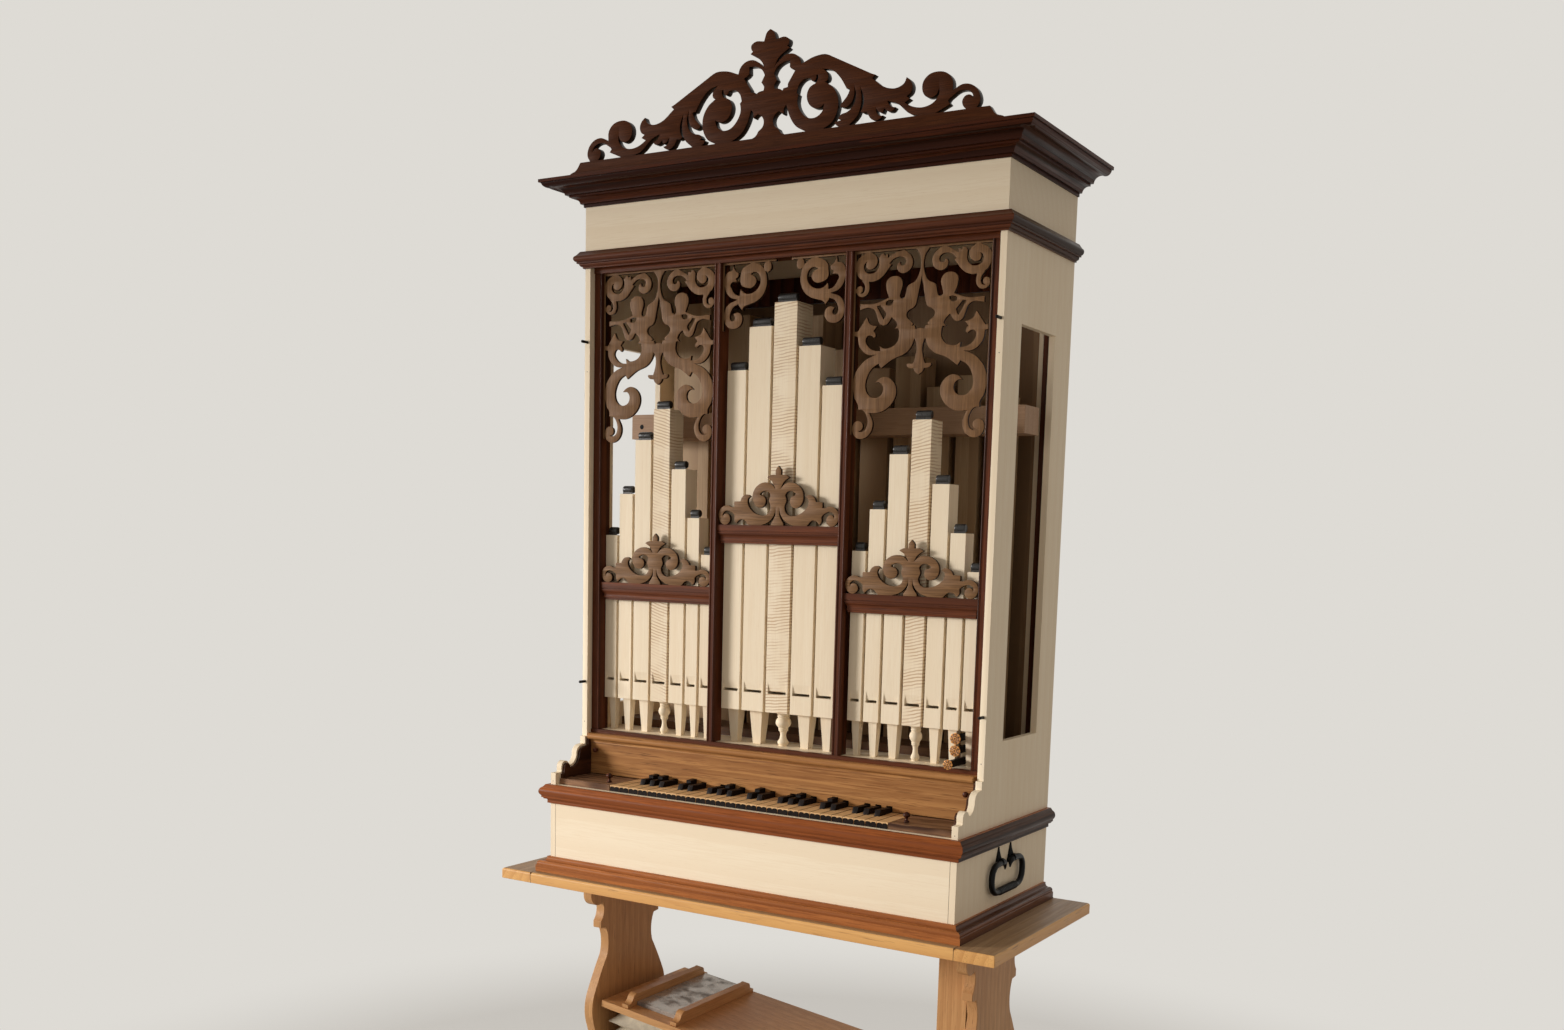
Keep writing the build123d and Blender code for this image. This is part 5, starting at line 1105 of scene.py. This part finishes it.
room = dict(floorHalf=60.0, floorTone=(216, 213, 208), wallTone=(222, 219, 213), ambient=0.38,
            ambientTone=(255, 245, 234), fadeFrom=0.7, fadeTo=2.4, fadeLeast=0.6)
windowLamp = dict(place=(-5.575, -3.7, 2.05), aim=(0.35, -0.1, 0.66), size=1.8, power=25.2, spread=37.0,
                  colour=(1.0, 0.97, 0.95))
photoView = dict(sensor=36.0, lens=33.77, shift=(-0.00924, 0.14426), place=(1.51915, -2.51059, 1.45364),
                 turns=(82.3085, -1.5168, 31.1823))


def stageFloor():
    # Near the object the floor takes some of its shadow; farther out it fades into the backdrop, for the rays
    # that look at it
    reach = room["floorHalf"]
    corners = [(-reach, -reach, 0.0), (reach, -reach, 0.0), (reach, reach, 0.0), (-reach, reach, 0.0)]
    mesh = bpy.data.meshes.new("floor")
    mesh.from_pydata(corners, [], [(0, 1, 2, 3)])
    finish = Finish("floorPaint")
    finish.shader.inputs["Base Color"].default_value = paint(*room["floorTone"])
    finish.shader.inputs["Roughness"].default_value = 0.8
    where = finish.add("TexCoord").outputs["Object"]
    distance = finish.add("VectorMath", {0: where}, operation="LENGTH").outputs["Value"]
    far = finish.maths("MAXIMUM", finish.ramp(distance, room["fadeFrom"], room["fadeTo"]), room["fadeLeast"])
    path = finish.add("LightPath").outputs
    looked = finish.maths("MAXIMUM", path["Is Glossy Ray"], path["Is Transmission Ray"])
    looked = finish.maths("MAXIMUM", path["Is Camera Ray"], looked)
    glow = finish.add("Emission", {"Color": paint(*room["wallTone"]), "Strength": 1.0}).outputs[0]
    shown = finish.add("MixShader", {0: finish.maths("MULTIPLY", far, looked)})
    finish.tree.links.new(finish.shader.outputs[0], shown.inputs[1])
    finish.tree.links.new(glow, shown.inputs[2])
    finish.tree.links.new(shown.outputs[0], finish.tree.nodes["Material Output"].inputs["Surface"])
    mesh.materials.append(finish.material)
    floor = bpy.data.objects.new("floor", mesh)
    bpy.context.scene.collection.objects.link(floor)


def softWorld():
    # Rays that look at the world see the pale wall; the rest see a dimmer sky that fills the shadows
    world = bpy.data.worlds.new("softRoom")
    bpy.context.scene.world = world
    world.use_nodes = True
    tree = world.node_tree
    tree.nodes.clear()
    path = tree.nodes.new("ShaderNodeLightPath")
    seen = tree.nodes.new("ShaderNodeMath")
    seen.operation = "MAXIMUM"
    glossy = tree.nodes.new("ShaderNodeMath")
    glossy.operation = "MAXIMUM"
    tree.links.new(path.outputs["Is Glossy Ray"], glossy.inputs[0])
    tree.links.new(path.outputs["Is Transmission Ray"], glossy.inputs[1])
    tree.links.new(path.outputs["Is Camera Ray"], seen.inputs[0])
    tree.links.new(glossy.outputs[0], seen.inputs[1])
    fill = tree.nodes.new("ShaderNodeBackground")
    fill.inputs["Color"].default_value = paint(*room["ambientTone"])
    fill.inputs["Strength"].default_value = room["ambient"]
    wall = tree.nodes.new("ShaderNodeBackground")
    wall.inputs["Color"].default_value = paint(*room["wallTone"])
    wall.inputs["Strength"].default_value = 1.0
    blend = tree.nodes.new("ShaderNodeMixShader")
    tree.links.new(seen.outputs[0], blend.inputs[0])
    tree.links.new(fill.outputs[0], blend.inputs[1])
    tree.links.new(wall.outputs[0], blend.inputs[2])
    out = tree.nodes.new("ShaderNodeOutputWorld")
    tree.links.new(blend.outputs[0], out.inputs["Surface"])


def softLamp():
    lamp = bpy.data.lights.new("window", "AREA")
    lamp.shape = "SQUARE"
    lamp.size = windowLamp["size"]
    lamp.energy = windowLamp["power"]
    lamp.spread = math.radians(windowLamp["spread"])
    lamp.color = windowLamp["colour"]
    held = bpy.data.objects.new("window", lamp)
    held.location = windowLamp["place"]
    back = np.array(windowLamp["place"]) - np.array(windowLamp["aim"])
    flat = math.hypot(back[0], back[1])
    held.rotation_euler = (math.atan2(flat, back[2]), 0.0, math.atan2(back[0], -back[1]))
    bpy.context.scene.collection.objects.link(held)


def organCamera():
    camera = bpy.data.cameras.new("photoView")
    camera.sensor_width = photoView["sensor"]
    camera.lens = photoView["lens"]
    camera.shift_x, camera.shift_y = photoView["shift"]
    held = bpy.data.objects.new("photoView", camera)
    held.location = photoView["place"]
    held.rotation_euler = [math.radians(turn) for turn in photoView["turns"]]
    bpy.context.scene.collection.objects.link(held)
    bpy.context.scene.camera = held


stageFloor()
softWorld()
softLamp()
organCamera()
bpy.context.scene.view_settings.view_transform = "Standard"
print("stage: light and camera set")
